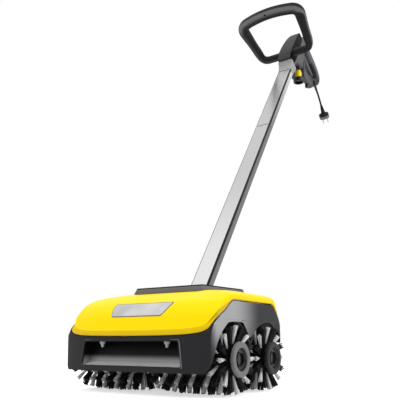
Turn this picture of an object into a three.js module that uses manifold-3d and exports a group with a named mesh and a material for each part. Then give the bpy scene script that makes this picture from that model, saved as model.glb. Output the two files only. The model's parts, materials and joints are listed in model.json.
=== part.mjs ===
// Patio cleaner: a brush head on two pairs of bristle rollers, driven by one motor through a
// gear train, with a long folding tube that carries a front loop, a rear grip and a water valve.
// Millimetres, +Z up. The front faces -Y, and the origin lies on the floor under the middle of
// the machine.

import * as THREE from 'three';
import { mergeVertices } from 'three/addons/utils/BufferGeometryUtils.js';
import Module from 'manifold-3d';

const wasm = await Module();
wasm.setup();

// Fits
const clearance = 0.3;
const overrun = 12;

// Head: outside form
const headDepth = 300;
const headHalfWidth = 187;
const headTop = 205.5;
const headBottom = 43;
const headRearBottom = 98;
const frontLipDepth = 30;
const frontSeamHeight = 110;
const cornerSeamHeight = 121;
const lipHeight = 11;
const lipDepth = 4;
const headWall = 3;
const frontCrown = 3;
const cornerSetback = 11.5;
const bowPower = 3.5;
const bowSteps = 14;
const sideDraft = 8;
const rearCornerRadius = 14;
const seamGap = 0.8;
const seamSteps = 12;
const seamPower = 5;

// Head: outline shares of its depth and height, and of its half width and height
const hoodProfileShares = [
  [0.065, 0.725], [0.143, 0.842], [0.257, 0.925], [0.34, 0.965], [0.44, 1],
  [0.8, 1], [0.873, 0.936], [0.967, 0.74], [1, 0.662],
];
const shoulderShares = [
  [1, 0.856], [0.984, 0.897], [0.95, 0.927], [0.888, 0.951], [0.75, 0.978], [0.6, 1.001], [0.3, 1.03],
];
const sideSeamShares = [
  [0.098, 0.672], [0.265, 0.849], [0.293, 0.869], [0.853, 0.869],
  [0.88, 0.852], [0.947, 0.754], [1, 0.66],
];

// Rollers
const rollerRadius = 67;
const rollerFlat = 0.5;
const rollerSpacing = 137;
const frontAxisY = 96;
const chamberClearance = 4;
const chamberWall = 3;
const webRise = 20;
const shaftRadius = 6;
const shaftHalfLength = 190;
const coreRadius = 22;
const sleeveRadius = 30;
const sleeveStart = 22;
const sleeveEnd = 184;
const rollerSides = 18;
const roundSides = 16;
const chamberSides = 24;
const smallSides = 12;
const screwSides = 8;
const sleeveSides = 16;

// Bristles
const strandRows = 10;
const strandsAround = 8;
const strandSides = 3;
const strandRootRadius = 2;
const strandTipRadius = 3.6;
const strandRootSink = 2;
const strandFirstRoot = 28;
const strandLastRoot = 177;
const innerFan = 13;
const outerFan = 9;
const fanShorten = 3;

// Hub rings
const hubFace = 198;
const hubRadius = 33;
const hubBoreRadius = 21.5;
const hubFloor = 4;
const hubBossRadius = 9;
const hubBossHeight = 5;
const hubChamfer = 2;

// Gears
const gearTeeth = 16;
const highIdlerTeeth = 21;
const smallReductionTeeth = 8;
const bigReductionTeeth = 30;
const pinionTeeth = 10;
const motorModule = 1.4667;
const gearHalfThickness = 4;
const bigGearFrom = -14.5;
const bigGearTo = -9.5;
const idlerAxleRadius = 5;
const reductionAxleRadius = 4;
const addendumShare = 0.7;
const dedendumShare = 1.1;
const rootToothShare = 0.54;
const tipToothShare = 0.22;
const reductionAxisY = 137;
const reductionAxisZ = 160;

// Gear case
const caseHalfThickness = 8;
const caseWall = 2;
const caseRim = 3;
const raisedCaseDepth = 17;
const pinionCaseRadius = 13;

// Motor
const motorAxisY = 162;
const motorAxisZ = 151;
const motorRadius = 32;
const motorWall = 3;
const motorEnd = -148;
const motorNoseRadius = 14;
const rotorRadius = 22.5;
const rotorFrom = -120;
const rotorTo = -50;
const rotorShaftRadius = 5;
const statorInset = 5;
const statorGap = 0.8;

// Chassis
const chassisHalfLength = 178.5;
const chassisFrontY = 62;
const chassisRearY = 268;
const chassisRearZ = 118;
const earInner = 25.5;
const earThickness = 6;
const earRadius = 14;
const rearFlangeThickness = 3;

// Front recess and water line
const recessTopHalfWidth = 117.6;
const recessBottomHalfWidth = 123.9;
const recessTop = 100;
const recessBottom = 54.3;
const recessBackWall = 2.5;
const recessRoof = 3;
const recessSideWall = 4;
const recessRampDepth = 3;
const recessRampTop = 63;
const railRadius = 4;
const railY = 14;
const nozzleX = 82.3;
const nozzleRadius = 4;
const nozzleTipRadius = 1.6;
const nozzleFlangeRadius = 6;
const nozzleFlangeHeight = 2;
const nozzleLength = 15;

// Arches over the roller ends: shares of the head's depth and top height
const archShares = [
  [0.02, 0.2], [0.05, 0.292], [0.064, 0.345], [0.1, 0.467], [0.16, 0.567], [0.235, 0.655],
  [0.29, 0.664], [0.425, 0.664], [0.528, 0.513], [0.628, 0.618], [0.725, 0.672], [0.81, 0.672],
  [0.934, 0.602], [0.99, 0.463], [0.99, 0.2],
];

// Deck plate, badge plate and screws
const deckFrontY = 129.7;
const deckRearY = 276.5;
const deckFrontHalfWidth = 92.6;
const deckRearHalfWidth = 108;
const deckTailY = 286;
const deckTailHalfWidth = 98;
const deckThickness = 6;
const slotHalfWidth = 27;
const slotFrontY = 192;
const slotFloor = 168;
const badgeHalfWidth = 72;
const badgeThickness = 1.5;
const badgeLow = 150;
const badgeHigh = 171.5;
const badgeSlant = 12;
const badgeLift = 0.4;
const screwHeadRadius = 3.8;
const screwHeadHeight = 2.4;
const screwShankRadius = 1.6;
const screwLength = 7.5;
const screwX = 76;
const screwY = 150;

// Control box on the front roller chamber
const controlFromX = 48;
const controlToX = 138;
const controlFromY = 74;
const controlToY = 118;
const controlHeight = 26;

// Handle tube. Distances along the tube are measured from its pivot.
const pivotY = 210;
const pivotZ = 156;
const lean = 34.2457;
const tubeHalfWidth = 23.4;
const tubeHalfDepth = 13;
const tubeWall = 1.3;
const tubeCorner = 5;
const tubeStart = 20;
const lowerTubeEnd = 721;
const upperTubeEnd = 1047;
const jointSleeveHalf = 60;
const jointSleeveWall = 1.5;
const footEyeRadius = 16;
const footNeckHalfDepth = 11;
const footPlugLength = 50;
const footFlangeHeight = 4;
const pinHeadRadius = 10;
const pinHeadHeight = 3;
const collarStart = 1001;
const collarTop = 1051;
const collarWall = 2.4;
const spigotHalfWidth = 11;
const spigotHalfDepth = 8;
const spigotLength = 30;
const waterPipeRadius = 4.5;
const waterPipeBore = 3;
const waterPipeX = 9;

// Handle: shares of the spine's length above the collar and of the grip's reach behind the tube
const spineLength = 260;
const gripReach = 196;
const gripHalfWidth = 16;
const shellWall = 2.3;
const coverDepth = 47;
const coverHalfWidth = 27;
const coverBack = -2.7;
const shellFront = -2.4;
const shellShares = [
  [0.077, 0], [0.077, 0.231], [0.102, 0.365], [0.179, 0.431], [0.306, 0.492], [0.5, 0.496],
  [0.648, 0.512], [0.878, 0.631], [0.985, 0.815], [1, 0.892], [0.975, 0.962], [0.93, 1],
  [0.816, 1.031], [0.561, 1.042], [0.332, 1.031], [0.051, 1.012],
];
const fingerOpeningShares = [
  [0.23, 0.7], [0.23, 0.862], [0.265, 0.885], [0.79, 0.885], [0.842, 0.823],
  [0.765, 0.738], [0.561, 0.65], [0.291, 0.638],
];
const coverSideShares = [
  [0.51, 0], [0.77, 0.115], [1, 0.296], [0.98, 0.54], [0.81, 0.77], [0.5, 0.94], [0.06, 1],
];
const coverFrontShares = [
  [0.74, 0], [0.96, 0.23], [1, 0.346], [0.89, 0.615], [0.72, 0.8], [0.52, 0.93], [0.22, 0.99],
];

// Front loop: a flat ring of two half shells, tilted a little from square to the tube
const loopAlong = 77.3;
const loopBehind = -31.7;
const loopTilt = 5.9;
const loopReach = 140;
const loopFarHalfWidth = 111.2;
const loopNearHalfWidth = 88.3;
const loopFarBar = 34;
const loopSideBar = 29;
const loopNearBar = 24;
const loopArch = 7;
const loopArchSteps = 6;
const loopHeight = 26;
const loopCorner = 34;
const loopInnerCorner = 12;
const loopWall = 2.3;
const loopBevel = 5;
const loopScrewX = 42;
const loopScrewRadius = 3.5;
const loopScrewDepth = 9;

// Trigger and switch
const triggerHalfWidth = 8;
const triggerPivotShares = [0.18, 0.796];
const triggerShares = [
  [0.13, 0.765], [0.25, 0.75], [0.6, 0.76], [0.75, 0.79], [0.76, 0.825], [0.7, 0.838], [0.25, 0.838],
  [0.17, 0.83],
];
const triggerPinRadius = 3;
const triggerSlotShares = [[0.16, 0.72], [0.26, 0.87]];
const switchFromShares = [0.04, 0.66];
const switchToShares = [0.165, 0.752];

// Water valve and hose coupling, upright when the machine stands at rest
const valveY = 916;
const valveTop = 1124;
const valveBlockBottom = 1090;
const valveRadius = 12.5;
const valveStemRadius = 6;
const knobRadius = 12;
const knobEndRadius = 8;
const couplingTop = 1061;
const couplingBottom = 1037;
const couplingRadius = 19.5;
const couplingBoreRadius = 14.5;
const couplingFloor = 5;
const nippleRadius = 6.5;
const nippleHeight = 7;

// Cable hook under the guard
const hookReach = 16;
const hookHalfWidth = 6;
const hookShares = [[0.15, 0], [0.85, 0], [0.8, 0.4], [0.45, 0.4], [0.3, 1], [0.12, 0.85]];

// Mains lead
const reliefBaseShares = [0.94, 0.822];
const reliefPitch = -9;
const reliefLength = 30;
const reliefRadius = 5.5;
const reliefTipRadius = 4.2;
const reliefFlangeRadius = 7.5;
const reliefFlange = 2;
const cordRadius = 3.5;
const cordSides = 8;
const cordSteps = 14;
const cordRoute = [
  [0, 0, 0], [0, 3.3, -3.1], [0, 6.5, -6.3], [0, 9.6, -9.5], [0, 12.6, -12.8], [0, 15.6, -16.1],
  [0, 18.5, -19.5], [0, 21.3, -23], [0, 24.1, -26.5], [0, 26.8, -30], [0, 29.5, -33.6],
  [0, 32.2, -37.2], [0, 34.9, -40.8], [0, 37.6, -44.4], [0, 40.3, -48],
];
const plugPitch = -53.13;
const bootLength = 34;
const bootTipRadius = 4.6;
const bootRadius = 8.5;
const plugLength = 24;
const plugRadius = 19.5;
const plugChamfer = 3;
const plugPinRadius = 2.4;
const plugPinLength = 19;
const plugPinSpacing = 19;

// Places worked out from the sizes above
const axisHeight = rollerRadius - rollerFlat;
const rearAxisY = frontAxisY + rollerSpacing;
const chamberRadius = rollerRadius + chamberClearance;
const chamberOutside = chamberRadius + chamberWall;
const runningRadius = shaftRadius + clearance;
const gearRadius = rollerSpacing / 6;
const gearModule = 2 * gearRadius / gearTeeth;
const highIdlerRadius = gearModule * highIdlerTeeth / 2;
const smallReductionRadius = gearModule * smallReductionTeeth / 2;
const bigReductionRadius = motorModule * bigReductionTeeth / 2;
const pinionRadius = motorModule * pinionTeeth / 2;
const motorStart = -earInner - earThickness - clearance;
const deckBottom = headTop + clearance;
const outwardSlope = THREE.MathUtils.degToRad(lean);

// Materials
const surface = (color, roughness, metalness = 0) =>
  new THREE.MeshStandardMaterial({ color, roughness, metalness });
const yellowPlastic = surface(0xf7d308, 0.35);
const blackPlastic = surface(0x1c1c1e, 0.5);
const greyPlastic = surface(0x55565a, 0.6);
const lightGreyPlastic = surface(0xa9aaac, 0.55);
const softBlack = surface(0x151516, 0.8);
const bristleNylon = surface(0x1a1a1b, 0.7);
const aluminium = surface(0xcfd0d2, 0.3, 0.9);
const steel = surface(0x9a9ca0, 0.35, 0.9);
const castMetal = surface(0x7c7e82, 0.55, 0.8);
const silverFoil = surface(0xd8d9db, 0.25, 0.8);
const copper = surface(0xa86a3c, 0.45, 0.8);
const rubber = surface(0x101011, 0.85);

// Outlines

const scaled = (shares, width, height, x = 0, y = 0) =>
  shares.map(([u, v]) => [x + u * width, y + v * height]);
const mirrored = (points) => [...points, ...points.map(([u, v]) => [-u, v]).reverse()];

function circle(u, v, radius, sides) {
  return Array.from({ length: sides }, (_, i) => {
    const angle = 2 * Math.PI * i / sides;
    return [u + radius * Math.cos(angle), v + radius * Math.sin(angle)];
  });
}

function rectangle(u0, v0, u1, v1) {
  return [[u0, v0], [u1, v0], [u1, v1], [u0, v1]];
}

function roundedRectangle(halfWidth, halfDepth, radius, steps = 2) {
  const corners = [[1, 1, 0], [-1, 1, 1], [-1, -1, 2], [1, -1, 3]];
  return corners.flatMap(([su, sv, turn]) => Array.from({ length: steps + 1 }, (_, i) => {
    const angle = Math.PI / 2 * (turn + i / steps);
    return [su * (halfWidth - radius) + radius * Math.cos(angle),
      sv * (halfDepth - radius) + radius * Math.sin(angle)];
  }));
}

// Moves each edge of a closed outline sideways: outwards for a positive distance
function offset(points, distance) {
  const count = points.length;
  const area = points.reduce((sum, [u, v], i) => {
    const [nextU, nextV] = points[(i + 1) % count];
    return sum + u * nextV - v * nextU;
  }, 0);
  const turn = Math.sign(area);
  const normal = (a, b) => {
    const length = Math.hypot(b[0] - a[0], b[1] - a[1]);
    return [turn * (b[1] - a[1]) / length, -turn * (b[0] - a[0]) / length];
  };
  return points.map((point, i) => {
    const before = normal(points[(i + count - 1) % count], point);
    const after = normal(point, points[(i + 1) % count]);
    const reach = distance / (1 + before[0] * after[0] + before[1] * after[1]);
    return [point[0] + reach * (before[0] + after[0]), point[1] + reach * (before[1] + after[1])];
  });
}

// Rounds every corner of an outline with a short curve that starts and ends a cut away from it
function rounded(points, cut, steps = 3) {
  const count = points.length;
  return points.flatMap((point, i) => {
    const corner = new THREE.Vector2(...point);
    const from = new THREE.Vector2(...points[(i + count - 1) % count]).sub(corner).setLength(cut);
    const to = new THREE.Vector2(...points[(i + 1) % count]).sub(corner).setLength(cut);
    const curve = new THREE.QuadraticBezierCurve(from.add(corner), corner, to.add(corner));
    return curve.getPoints(steps).map(({ x, y }) => [x, y]);
  });
}

// Solids

function toSolid(geometry) {
  const bare = geometry.clone();
  bare.deleteAttribute('normal');
  bare.deleteAttribute('uv');
  const merged = mergeVertices(bare);
  const places = merged.attributes.position;
  const corners = Array.from(merged.index.array);
  const kept = [];
  let volume = 0;
  const [a, b, c] = [new THREE.Vector3(), new THREE.Vector3(), new THREE.Vector3()];
  for (let i = 0; i < corners.length; i += 3) {
    const [p, q, r] = corners.slice(i, i + 3);
    if (p === q || q === r || r === p) continue;
    kept.push(p, q, r);
    a.fromBufferAttribute(places, p);
    b.fromBufferAttribute(places, q);
    c.fromBufferAttribute(places, r);
    volume += a.dot(b.cross(c));
  }
  if (volume < 0) kept.reverse();
  return new wasm.Manifold(new wasm.Mesh({
    numProp: 3,
    vertProperties: new Float32Array(places.array),
    triVerts: new Uint32Array(kept),
  }));
}

const join = (first, ...others) => others.reduce((sum, other) => sum.add(other), first);
const cut = (first, ...others) => others.reduce((rest, other) => rest.subtract(other), first);
const common = (first, ...others) => others.reduce((shared, other) => shared.intersect(other), first);

const alongX = new THREE.Matrix4().makeBasis(
  new THREE.Vector3(0, 1, 0), new THREE.Vector3(0, 0, 1), new THREE.Vector3(1, 0, 0));
const alongY = new THREE.Matrix4().makeBasis(
  new THREE.Vector3(1, 0, 0), new THREE.Vector3(0, 0, 1), new THREE.Vector3(0, -1, 0));

// A prism along an axis. Its outline lies in (y, z) for x, (x, z) for y and (x, y) for z.
function prismGeometry(axis, points, from, to, steps = 1, holes = []) {
  const shape = new THREE.Shape(points.map(([u, v]) => new THREE.Vector2(u, v)));
  shape.holes = holes.map((hole) => new THREE.Path(hole.map(([u, v]) => new THREE.Vector2(u, v))));
  const geometry = new THREE.ExtrudeGeometry(shape, { depth: to - from, steps, bevelEnabled: false });
  if (axis === 'x') geometry.applyMatrix4(alongX).translate(from, 0, 0);
  if (axis === 'y') geometry.applyMatrix4(alongY).translate(0, to, 0);
  if (axis === 'z') geometry.translate(0, 0, from);
  return geometry;
}

const prism = (axis, points, from, to, holes = []) =>
  toSolid(prismGeometry(axis, points, from, to, 1, holes));
const rod = (axis, u, v, radius, from, to, sides = roundSides) =>
  prism(axis, circle(u, v, radius, sides), from, to);

// A ring with softened edges, extruded along z
function softPrism(points, hole, from, to, bevel) {
  const shape = new THREE.Shape(points.map(([u, v]) => new THREE.Vector2(u, v)));
  shape.holes = [new THREE.Path(hole.map(([u, v]) => new THREE.Vector2(u, v)))];
  const geometry = new THREE.ExtrudeGeometry(shape, {
    depth: to - from - 2 * bevel, bevelThickness: bevel, bevelSize: bevel, bevelOffset: -bevel,
    bevelSegments: 1,
  });
  return toSolid(geometry.translate(0, 0, from + bevel));
}

const block = (x0, y0, z0, x1, y1, z1) => prism('z', rectangle(x0, y0, x1, y1), z0, z1);

// A turned piece: its outline gives (radius, distance along the axis)
function turnedGeometry(outline, sides) {
  return new THREE.LatheGeometry(outline.map(([r, h]) => new THREE.Vector2(r, h)), sides);
}

function turnedAlongX(outline, y, z, sides = rollerSides) {
  return toSolid(turnedGeometry(outline, sides).rotateZ(-Math.PI / 2).translate(0, y, z));
}

const ringOutline = (inner, outer, from, to) =>
  [[inner, from], [outer, from], [outer, to], [inner, to], [inner, from]];

function part(name, solid, material) {
  const { vertProperties, triVerts } = solid.getMesh();
  const geometry = new THREE.BufferGeometry();
  geometry.setAttribute('position', new THREE.BufferAttribute(vertProperties, 3));
  geometry.setIndex(new THREE.BufferAttribute(triVerts, 1));
  geometry.computeVertexNormals();
  const mesh = new THREE.Mesh(geometry, material);
  mesh.name = name;
  return mesh;
}

const sideName = (side) => (side < 0 ? 'left' : 'right');

// Head casing

function bowedFront(geometry) {
  const places = geometry.attributes.position;
  for (let i = 0; i < places.count; i += 1) {
    const share = (Math.abs(places.getX(i)) / headHalfWidth) ** bowPower;
    const shift = (frontCrown + cornerSetback) * share - frontCrown;
    const y = places.getY(i);
    places.setY(i, y + shift * (1 - y / headDepth));
  }
  return geometry;
}

function headBody(inset, drop) {
  const profile = [
    [0, headBottom - drop], [0, frontSeamHeight], [lipDepth, frontSeamHeight + lipHeight],
    ...scaled(hoodProfileShares, headDepth, headTop),
    [headDepth, headRearBottom - drop], [frontLipDepth, headBottom - drop],
  ];
  const halfSpan = headHalfWidth + overrun;
  const side = toSolid(bowedFront(
    prismGeometry('x', offset(profile, -inset), -halfSpan, halfSpan, bowSteps)));
  const footHalfWidth = headHalfWidth - sideDraft * (1 + overrun / frontSeamHeight);
  const front = mirrored([
    [footHalfWidth, -overrun], [headHalfWidth, frontSeamHeight],
    ...scaled(shoulderShares, headHalfWidth, headTop),
  ]);
  const plan = mirrored([
    [headHalfWidth + overrun, -overrun - frontCrown],
    [headHalfWidth + overrun, headDepth - rearCornerRadius - overrun],
    [headHalfWidth - rearCornerRadius, headDepth],
  ]);
  return common(side,
    prism('y', offset(front, -inset), -overrun - frontCrown, headDepth + overrun),
    prism('z', offset(plan, -inset), -overrun, headTop + overrun));
}

function belowSeam(drop) {
  const frontPoints = Array.from({ length: seamSteps + 1 }, (_, i) => {
    const share = 2 * i / seamSteps - 1;
    const rise = (cornerSeamHeight - frontSeamHeight) * Math.abs(share) ** seamPower;
    return [share * headHalfWidth, frontSeamHeight + rise - drop];
  });
  const outer = headHalfWidth + overrun;
  const front = prism('y', [
    [-outer, -overrun], [-outer, cornerSeamHeight - drop], ...frontPoints,
    [outer, cornerSeamHeight - drop], [outer, -overrun],
  ], -overrun - frontCrown, cornerSetback);
  const side = prism('x', [
    [cornerSetback - clearance, -overrun], [cornerSetback - clearance, cornerSeamHeight - drop],
    [cornerSetback, cornerSeamHeight - drop],
    ...scaled(sideSeamShares, headDepth, headTop, 0, -drop),
    [headDepth + overrun, sideSeamShares.at(-1)[1] * headTop - drop], [headDepth + overrun, -overrun],
  ], -outer, outer);
  return join(front, side);
}

// Height on a circle round the front roller's axis gives the place of its front side
const aroundFrontRoller = (radius, z) =>
  frontAxisY - Math.sqrt(radius ** 2 - (z - axisHeight) ** 2);

function frontBlock(body) {
  const top = recessTop + recessRoof;
  const heights = [top, 0.8 * top + 0.2 * axisHeight, 0.5 * (top + axisHeight), axisHeight, headBottom];
  const back = heights.map((z) => [aroundFrontRoller(chamberRadius, z), z]);
  const halfWidth = recessBottomHalfWidth + recessSideWall;
  return common(body, prism('x',
    [[-overrun, headBottom], [-overrun, top], ...back], -halfWidth, halfWidth));
}

function recess() {
  const backRadius = chamberRadius + recessBackWall;
  const heights = [recessRampTop, axisHeight, 0.6 * axisHeight + 0.4 * recessTop, recessTop];
  const back = heights.map((z) => [aroundFrontRoller(backRadius, z), z]);
  const pocket = prism('x', [
    [-overrun, recessBottom], [recessRampDepth, recessBottom], ...back, [-overrun, recessTop],
  ], -recessBottomHalfWidth, recessBottomHalfWidth);
  const mouth = mirrored([[recessBottomHalfWidth, recessBottom], [recessTopHalfWidth, recessTop]]);
  const mouthPrism = prism('y', [[recessBottomHalfWidth, recessBottom - overrun], ...mouth,
    [-recessBottomHalfWidth, recessBottom - overrun]], -overrun - frontCrown, headDepth / 2);
  return common(pocket, mouthPrism);
}

function nozzleHole(side) {
  return rod('z', side * nozzleX, railY, nozzleRadius + clearance, recessTop - overrun,
    recessTop + recessRoof + overrun);
}

function lowerHousing() {
  const body = headBody(0, 0);
  const shell = common(cut(body, headBody(headWall, overrun)), belowSeam(seamGap));
  const arches = prism('x', scaled(archShares, headDepth, headTop), -headHalfWidth - overrun,
    headHalfWidth + overrun);
  const middle = headHalfWidth - headWall - sideDraft - overrun;
  const keptMiddle = block(-middle, -overrun, -overrun, middle, headDepth + overrun, headTop);
  return cut(join(shell, frontBlock(body)), cut(arches, keptMiddle), recess(),
    nozzleHole(-1), nozzleHole(1));
}

function tubeSlot(width, floor) {
  return block(-width, slotFrontY, floor, width, headDepth + overrun, headTop + overrun);
}

const screwPlaces = [-1, 1].map((side) => [side * screwX, screwY]);

function hood() {
  const shell = cut(headBody(0, 0), headBody(headWall, overrun), belowSeam(0));
  const holes = screwPlaces.map(([x, y]) =>
    rod('z', x, y, screwShankRadius + clearance, headTop - overrun, headTop + overrun, screwSides));
  return cut(shell, tubeSlot(slotHalfWidth, slotFloor), ...holes);
}

function deck() {
  const outline = mirrored([
    [deckFrontHalfWidth, deckFrontY], [deckRearHalfWidth, deckRearY], [deckTailHalfWidth, deckTailY],
  ]);
  const top = deckBottom + deckThickness;
  const plate = prism('z', outline, deckBottom, top);
  const bores = screwPlaces.flatMap(([x, y]) => [
    rod('z', x, y, screwShankRadius + clearance, headTop, top + overrun, screwSides),
    rod('z', x, y, screwHeadRadius + clearance, top - screwHeadHeight - clearance, top + overrun,
      screwSides),
  ]);
  const rearDrop = prism('x', [
    [deckTailY + overrun, deckBottom - overrun], [headDepth * hoodProfileShares[5][0], deckBottom],
    [headDepth * hoodProfileShares[5][0], deckBottom - overrun],
  ], -deckRearHalfWidth, deckRearHalfWidth);
  return cut(plate, tubeSlot(slotHalfWidth, slotFloor), rearDrop, ...bores);
}

function deckScrew(x, y) {
  const top = deckBottom + deckThickness - clearance;
  const outline = [
    [0, top - screwHeadHeight - screwLength], [screwShankRadius, top - screwHeadHeight - screwLength],
    [screwShankRadius, top - screwHeadHeight], [screwHeadRadius, top - screwHeadHeight],
    [screwHeadRadius, top], [0, top],
  ];
  const geometry = turnedGeometry(outline, screwSides).rotateX(Math.PI / 2).translate(x, y, 0);
  return toSolid(geometry);
}

// The bare plate lies on the hood's front slope
function badgePlate() {
  const [lowShare, highShare] = hoodProfileShares;
  const from = new THREE.Vector2(lowShare[0] * headDepth, lowShare[1] * headTop);
  const to = new THREE.Vector2(highShare[0] * headDepth, highShare[1] * headTop);
  const along = to.clone().sub(from);
  const bottom = from.clone().addScaledVector(along, (badgeLow - from.y) / along.y);
  const top = from.clone().addScaledVector(along, (badgeHigh - from.y) / along.y);
  const outward = new THREE.Vector2(-along.y, along.x).normalize();
  const near = outward.clone().multiplyScalar(badgeLift);
  const far = outward.clone().multiplyScalar(badgeLift + badgeThickness);
  const side = [
    bottom.clone().add(near), bottom.clone().add(far), top.clone().add(far), top.clone().add(near),
  ];
  const slab = toSolid(bowedFront(prismGeometry('x', side.map(({ x, y }) => [x, y]),
    -badgeHalfWidth, badgeHalfWidth, bowSteps)));
  const ends = mirrored([
    [badgeHalfWidth - badgeSlant, bottom.y - overrun], [badgeHalfWidth, top.y],
    [badgeHalfWidth, top.y + overrun],
  ]);
  return common(slab, prism('y', ends, -overrun, headDepth));
}

function waterRail() {
  const z = recessTop + recessRoof + clearance + railRadius;
  return rod('x', railY, z, railRadius, -nozzleX - nozzleRadius, nozzleX + nozzleRadius, smallSides);
}

function sprayNozzle(side) {
  const outline = [
    [0, 0], [nozzleRadius, 0], [nozzleRadius, -recessRoof - clearance],
    [nozzleFlangeRadius, -recessRoof - clearance],
    [nozzleFlangeRadius, -recessRoof - clearance - nozzleFlangeHeight],
    [nozzleTipRadius, -nozzleLength], [0, -nozzleLength],
  ];
  const geometry = turnedGeometry(outline, smallSides).rotateX(Math.PI / 2);
  return toSolid(geometry.translate(side * nozzleX, railY, recessTop + recessRoof));
}

// Frame over the brush chambers, with the ears that carry the handle's pivot

function chamberDiscs(radius) {
  return join(...[frontAxisY, rearAxisY].map((y) => rod('x', y, axisHeight, radius,
    -chassisHalfLength, chassisHalfLength, chamberSides)));
}

function ear(side) {
  const from = side < 0 ? -earInner - earThickness : earInner;
  const base = earRadius + chamberOutside;
  const eye = rod('x', pivotY, pivotZ, earRadius, from, from + earThickness);
  const leg = prism('x', [
    [pivotY - earRadius, pivotZ], [pivotY - earRadius, axisHeight + base / 2],
    [rearAxisY + earRadius, axisHeight + base / 2], [pivotY + earRadius, pivotZ],
  ], from, from + earThickness);
  return join(eye, leg);
}

function chassis() {
  const roof = recessTop + recessRoof + clearance;
  const wide = chassisHalfLength + overrun;
  const frontTrim = block(-wide, -overrun, -overrun, wide, chassisFrontY, roof);
  const rearTrim = block(-wide, chassisRearY, -overrun, wide, headDepth + overrun, chassisRearZ);
  const below = block(-wide, -overrun, -overrun, wide, headDepth + overrun, axisHeight);
  const caseSlot = caseHalfThickness + clearance;
  const slot = block(-caseSlot, chassisFrontY, -overrun, caseSlot, chassisRearY, headTop);
  const flangeBack = headDepth - headWall - clearance;
  const arcRear = rearAxisY + Math.sqrt(chamberRadius ** 2 - (chassisRearZ - axisHeight) ** 2);
  const flangeHalf = headHalfWidth - rearCornerRadius - 2 * headWall;
  const flange = block(-flangeHalf, arcRear, chassisRearZ, flangeHalf, flangeBack,
    chassisRearZ + rearFlangeThickness);
  const webBottom = axisHeight + webRise;
  const web = block(-chassisHalfLength, frontAxisY, webBottom, chassisHalfLength, rearAxisY,
    webBottom + chamberWall);
  const solid = join(chamberDiscs(chamberOutside), web, ear(-1), ear(1), flange);
  const pinHole = rod('x', pivotY, pivotZ, runningRadius, -wide, wide);
  return cut(solid, chamberDiscs(chamberRadius), frontTrim, rearTrim, below, slot, pinHole);
}

function controlBox() {
  const z = axisHeight + chamberOutside + clearance;
  return block(controlFromX, controlFromY, z, controlToX, controlToY, z + controlHeight);
}

// Gear train in the plane between the rollers

function gearOutline(axis, radius, teeth, phase) {
  const gearTooth = 2 * radius / teeth;
  const tip = radius + addendumShare * gearTooth;
  const root = radius - dedendumShare * gearTooth;
  const pitch = 2 * Math.PI / teeth;
  return Array.from({ length: teeth }, (_, i) => phase + i * pitch).flatMap((angle) => [
    [root, angle - rootToothShare * pitch / 2], [tip, angle - tipToothShare * pitch / 2],
    [tip, angle + tipToothShare * pitch / 2], [root, angle + rootToothShare * pitch / 2],
  ]).map(([r, angle]) => [axis[0] + r * Math.cos(angle), axis[1] + r * Math.sin(angle)]);
}

const gearTipRadius = (radius, teeth) => radius + addendumShare * 2 * radius / teeth;

// The phase that puts a gap of the driven gear over a tooth of its driver
function meshedPhase(driver, driven) {
  const angle = Math.atan2(driven.axis[1] - driver.axis[1], driven.axis[0] - driver.axis[0]);
  const advance = (driver.phase - angle) * driver.teeth / driven.teeth;
  return angle + Math.PI + Math.PI / driven.teeth - advance;
}

function gearAt(axis, radius, teeth, driver) {
  const gear = { axis, radius, teeth, phase: 0 };
  if (driver) gear.phase = meshedPhase(driver, gear);
  return gear;
}

// The point at given distances from two others, on the side towards +Y
function crossing(from, fromDistance, to, toDistance) {
  const span = Math.hypot(to[0] - from[0], to[1] - from[1]);
  const along = (fromDistance ** 2 - toDistance ** 2 + span ** 2) / (2 * span);
  const aside = Math.sqrt(fromDistance ** 2 - along ** 2);
  const [u, v] = [(to[0] - from[0]) / span, (to[1] - from[1]) / span];
  return [from[0] + along * u + aside * v, from[1] + along * v - aside * u];
}

const frontIdlerAxis = [frontAxisY + 2 * gearRadius, axisHeight];
const rearIdlerAxis = [frontAxisY + 4 * gearRadius, axisHeight];
const reductionAxis = [reductionAxisY, reductionAxisZ];
const motorAngle = Math.atan2(motorAxisZ - reductionAxisZ, motorAxisY - reductionAxisY);
const motorAxis = [
  reductionAxis[0] + (bigReductionRadius + pinionRadius) * Math.cos(motorAngle),
  reductionAxis[1] + (bigReductionRadius + pinionRadius) * Math.sin(motorAngle),
];
const highIdlerAxis = crossing(frontIdlerAxis, gearRadius + highIdlerRadius,
  reductionAxis, smallReductionRadius + highIdlerRadius);

const frontGear = gearAt([frontAxisY, axisHeight], gearRadius, gearTeeth);
const frontIdler = gearAt(frontIdlerAxis, gearRadius, gearTeeth, frontGear);
const rearIdler = gearAt(rearIdlerAxis, gearRadius, gearTeeth, frontIdler);
const rearGear = gearAt([rearAxisY, axisHeight], gearRadius, gearTeeth, rearIdler);
const highIdler = gearAt(highIdlerAxis, highIdlerRadius, highIdlerTeeth, frontIdler);
const smallReduction = gearAt(reductionAxis, smallReductionRadius, smallReductionTeeth, highIdler);
const bigReduction = gearAt(reductionAxis, bigReductionRadius, bigReductionTeeth);
const pinion = gearAt(motorAxis, pinionRadius, pinionTeeth, bigReduction);

const gearPrism = ({ axis, radius, teeth, phase }, from, to, bore) =>
  prism('x', gearOutline(axis, radius, teeth, phase), from, to, bore
    ? [circle(axis[0], axis[1], bore, smallSides)] : []);
const thinGear = (gear, bore) => gearPrism(gear, -gearHalfThickness, gearHalfThickness, bore);

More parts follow.
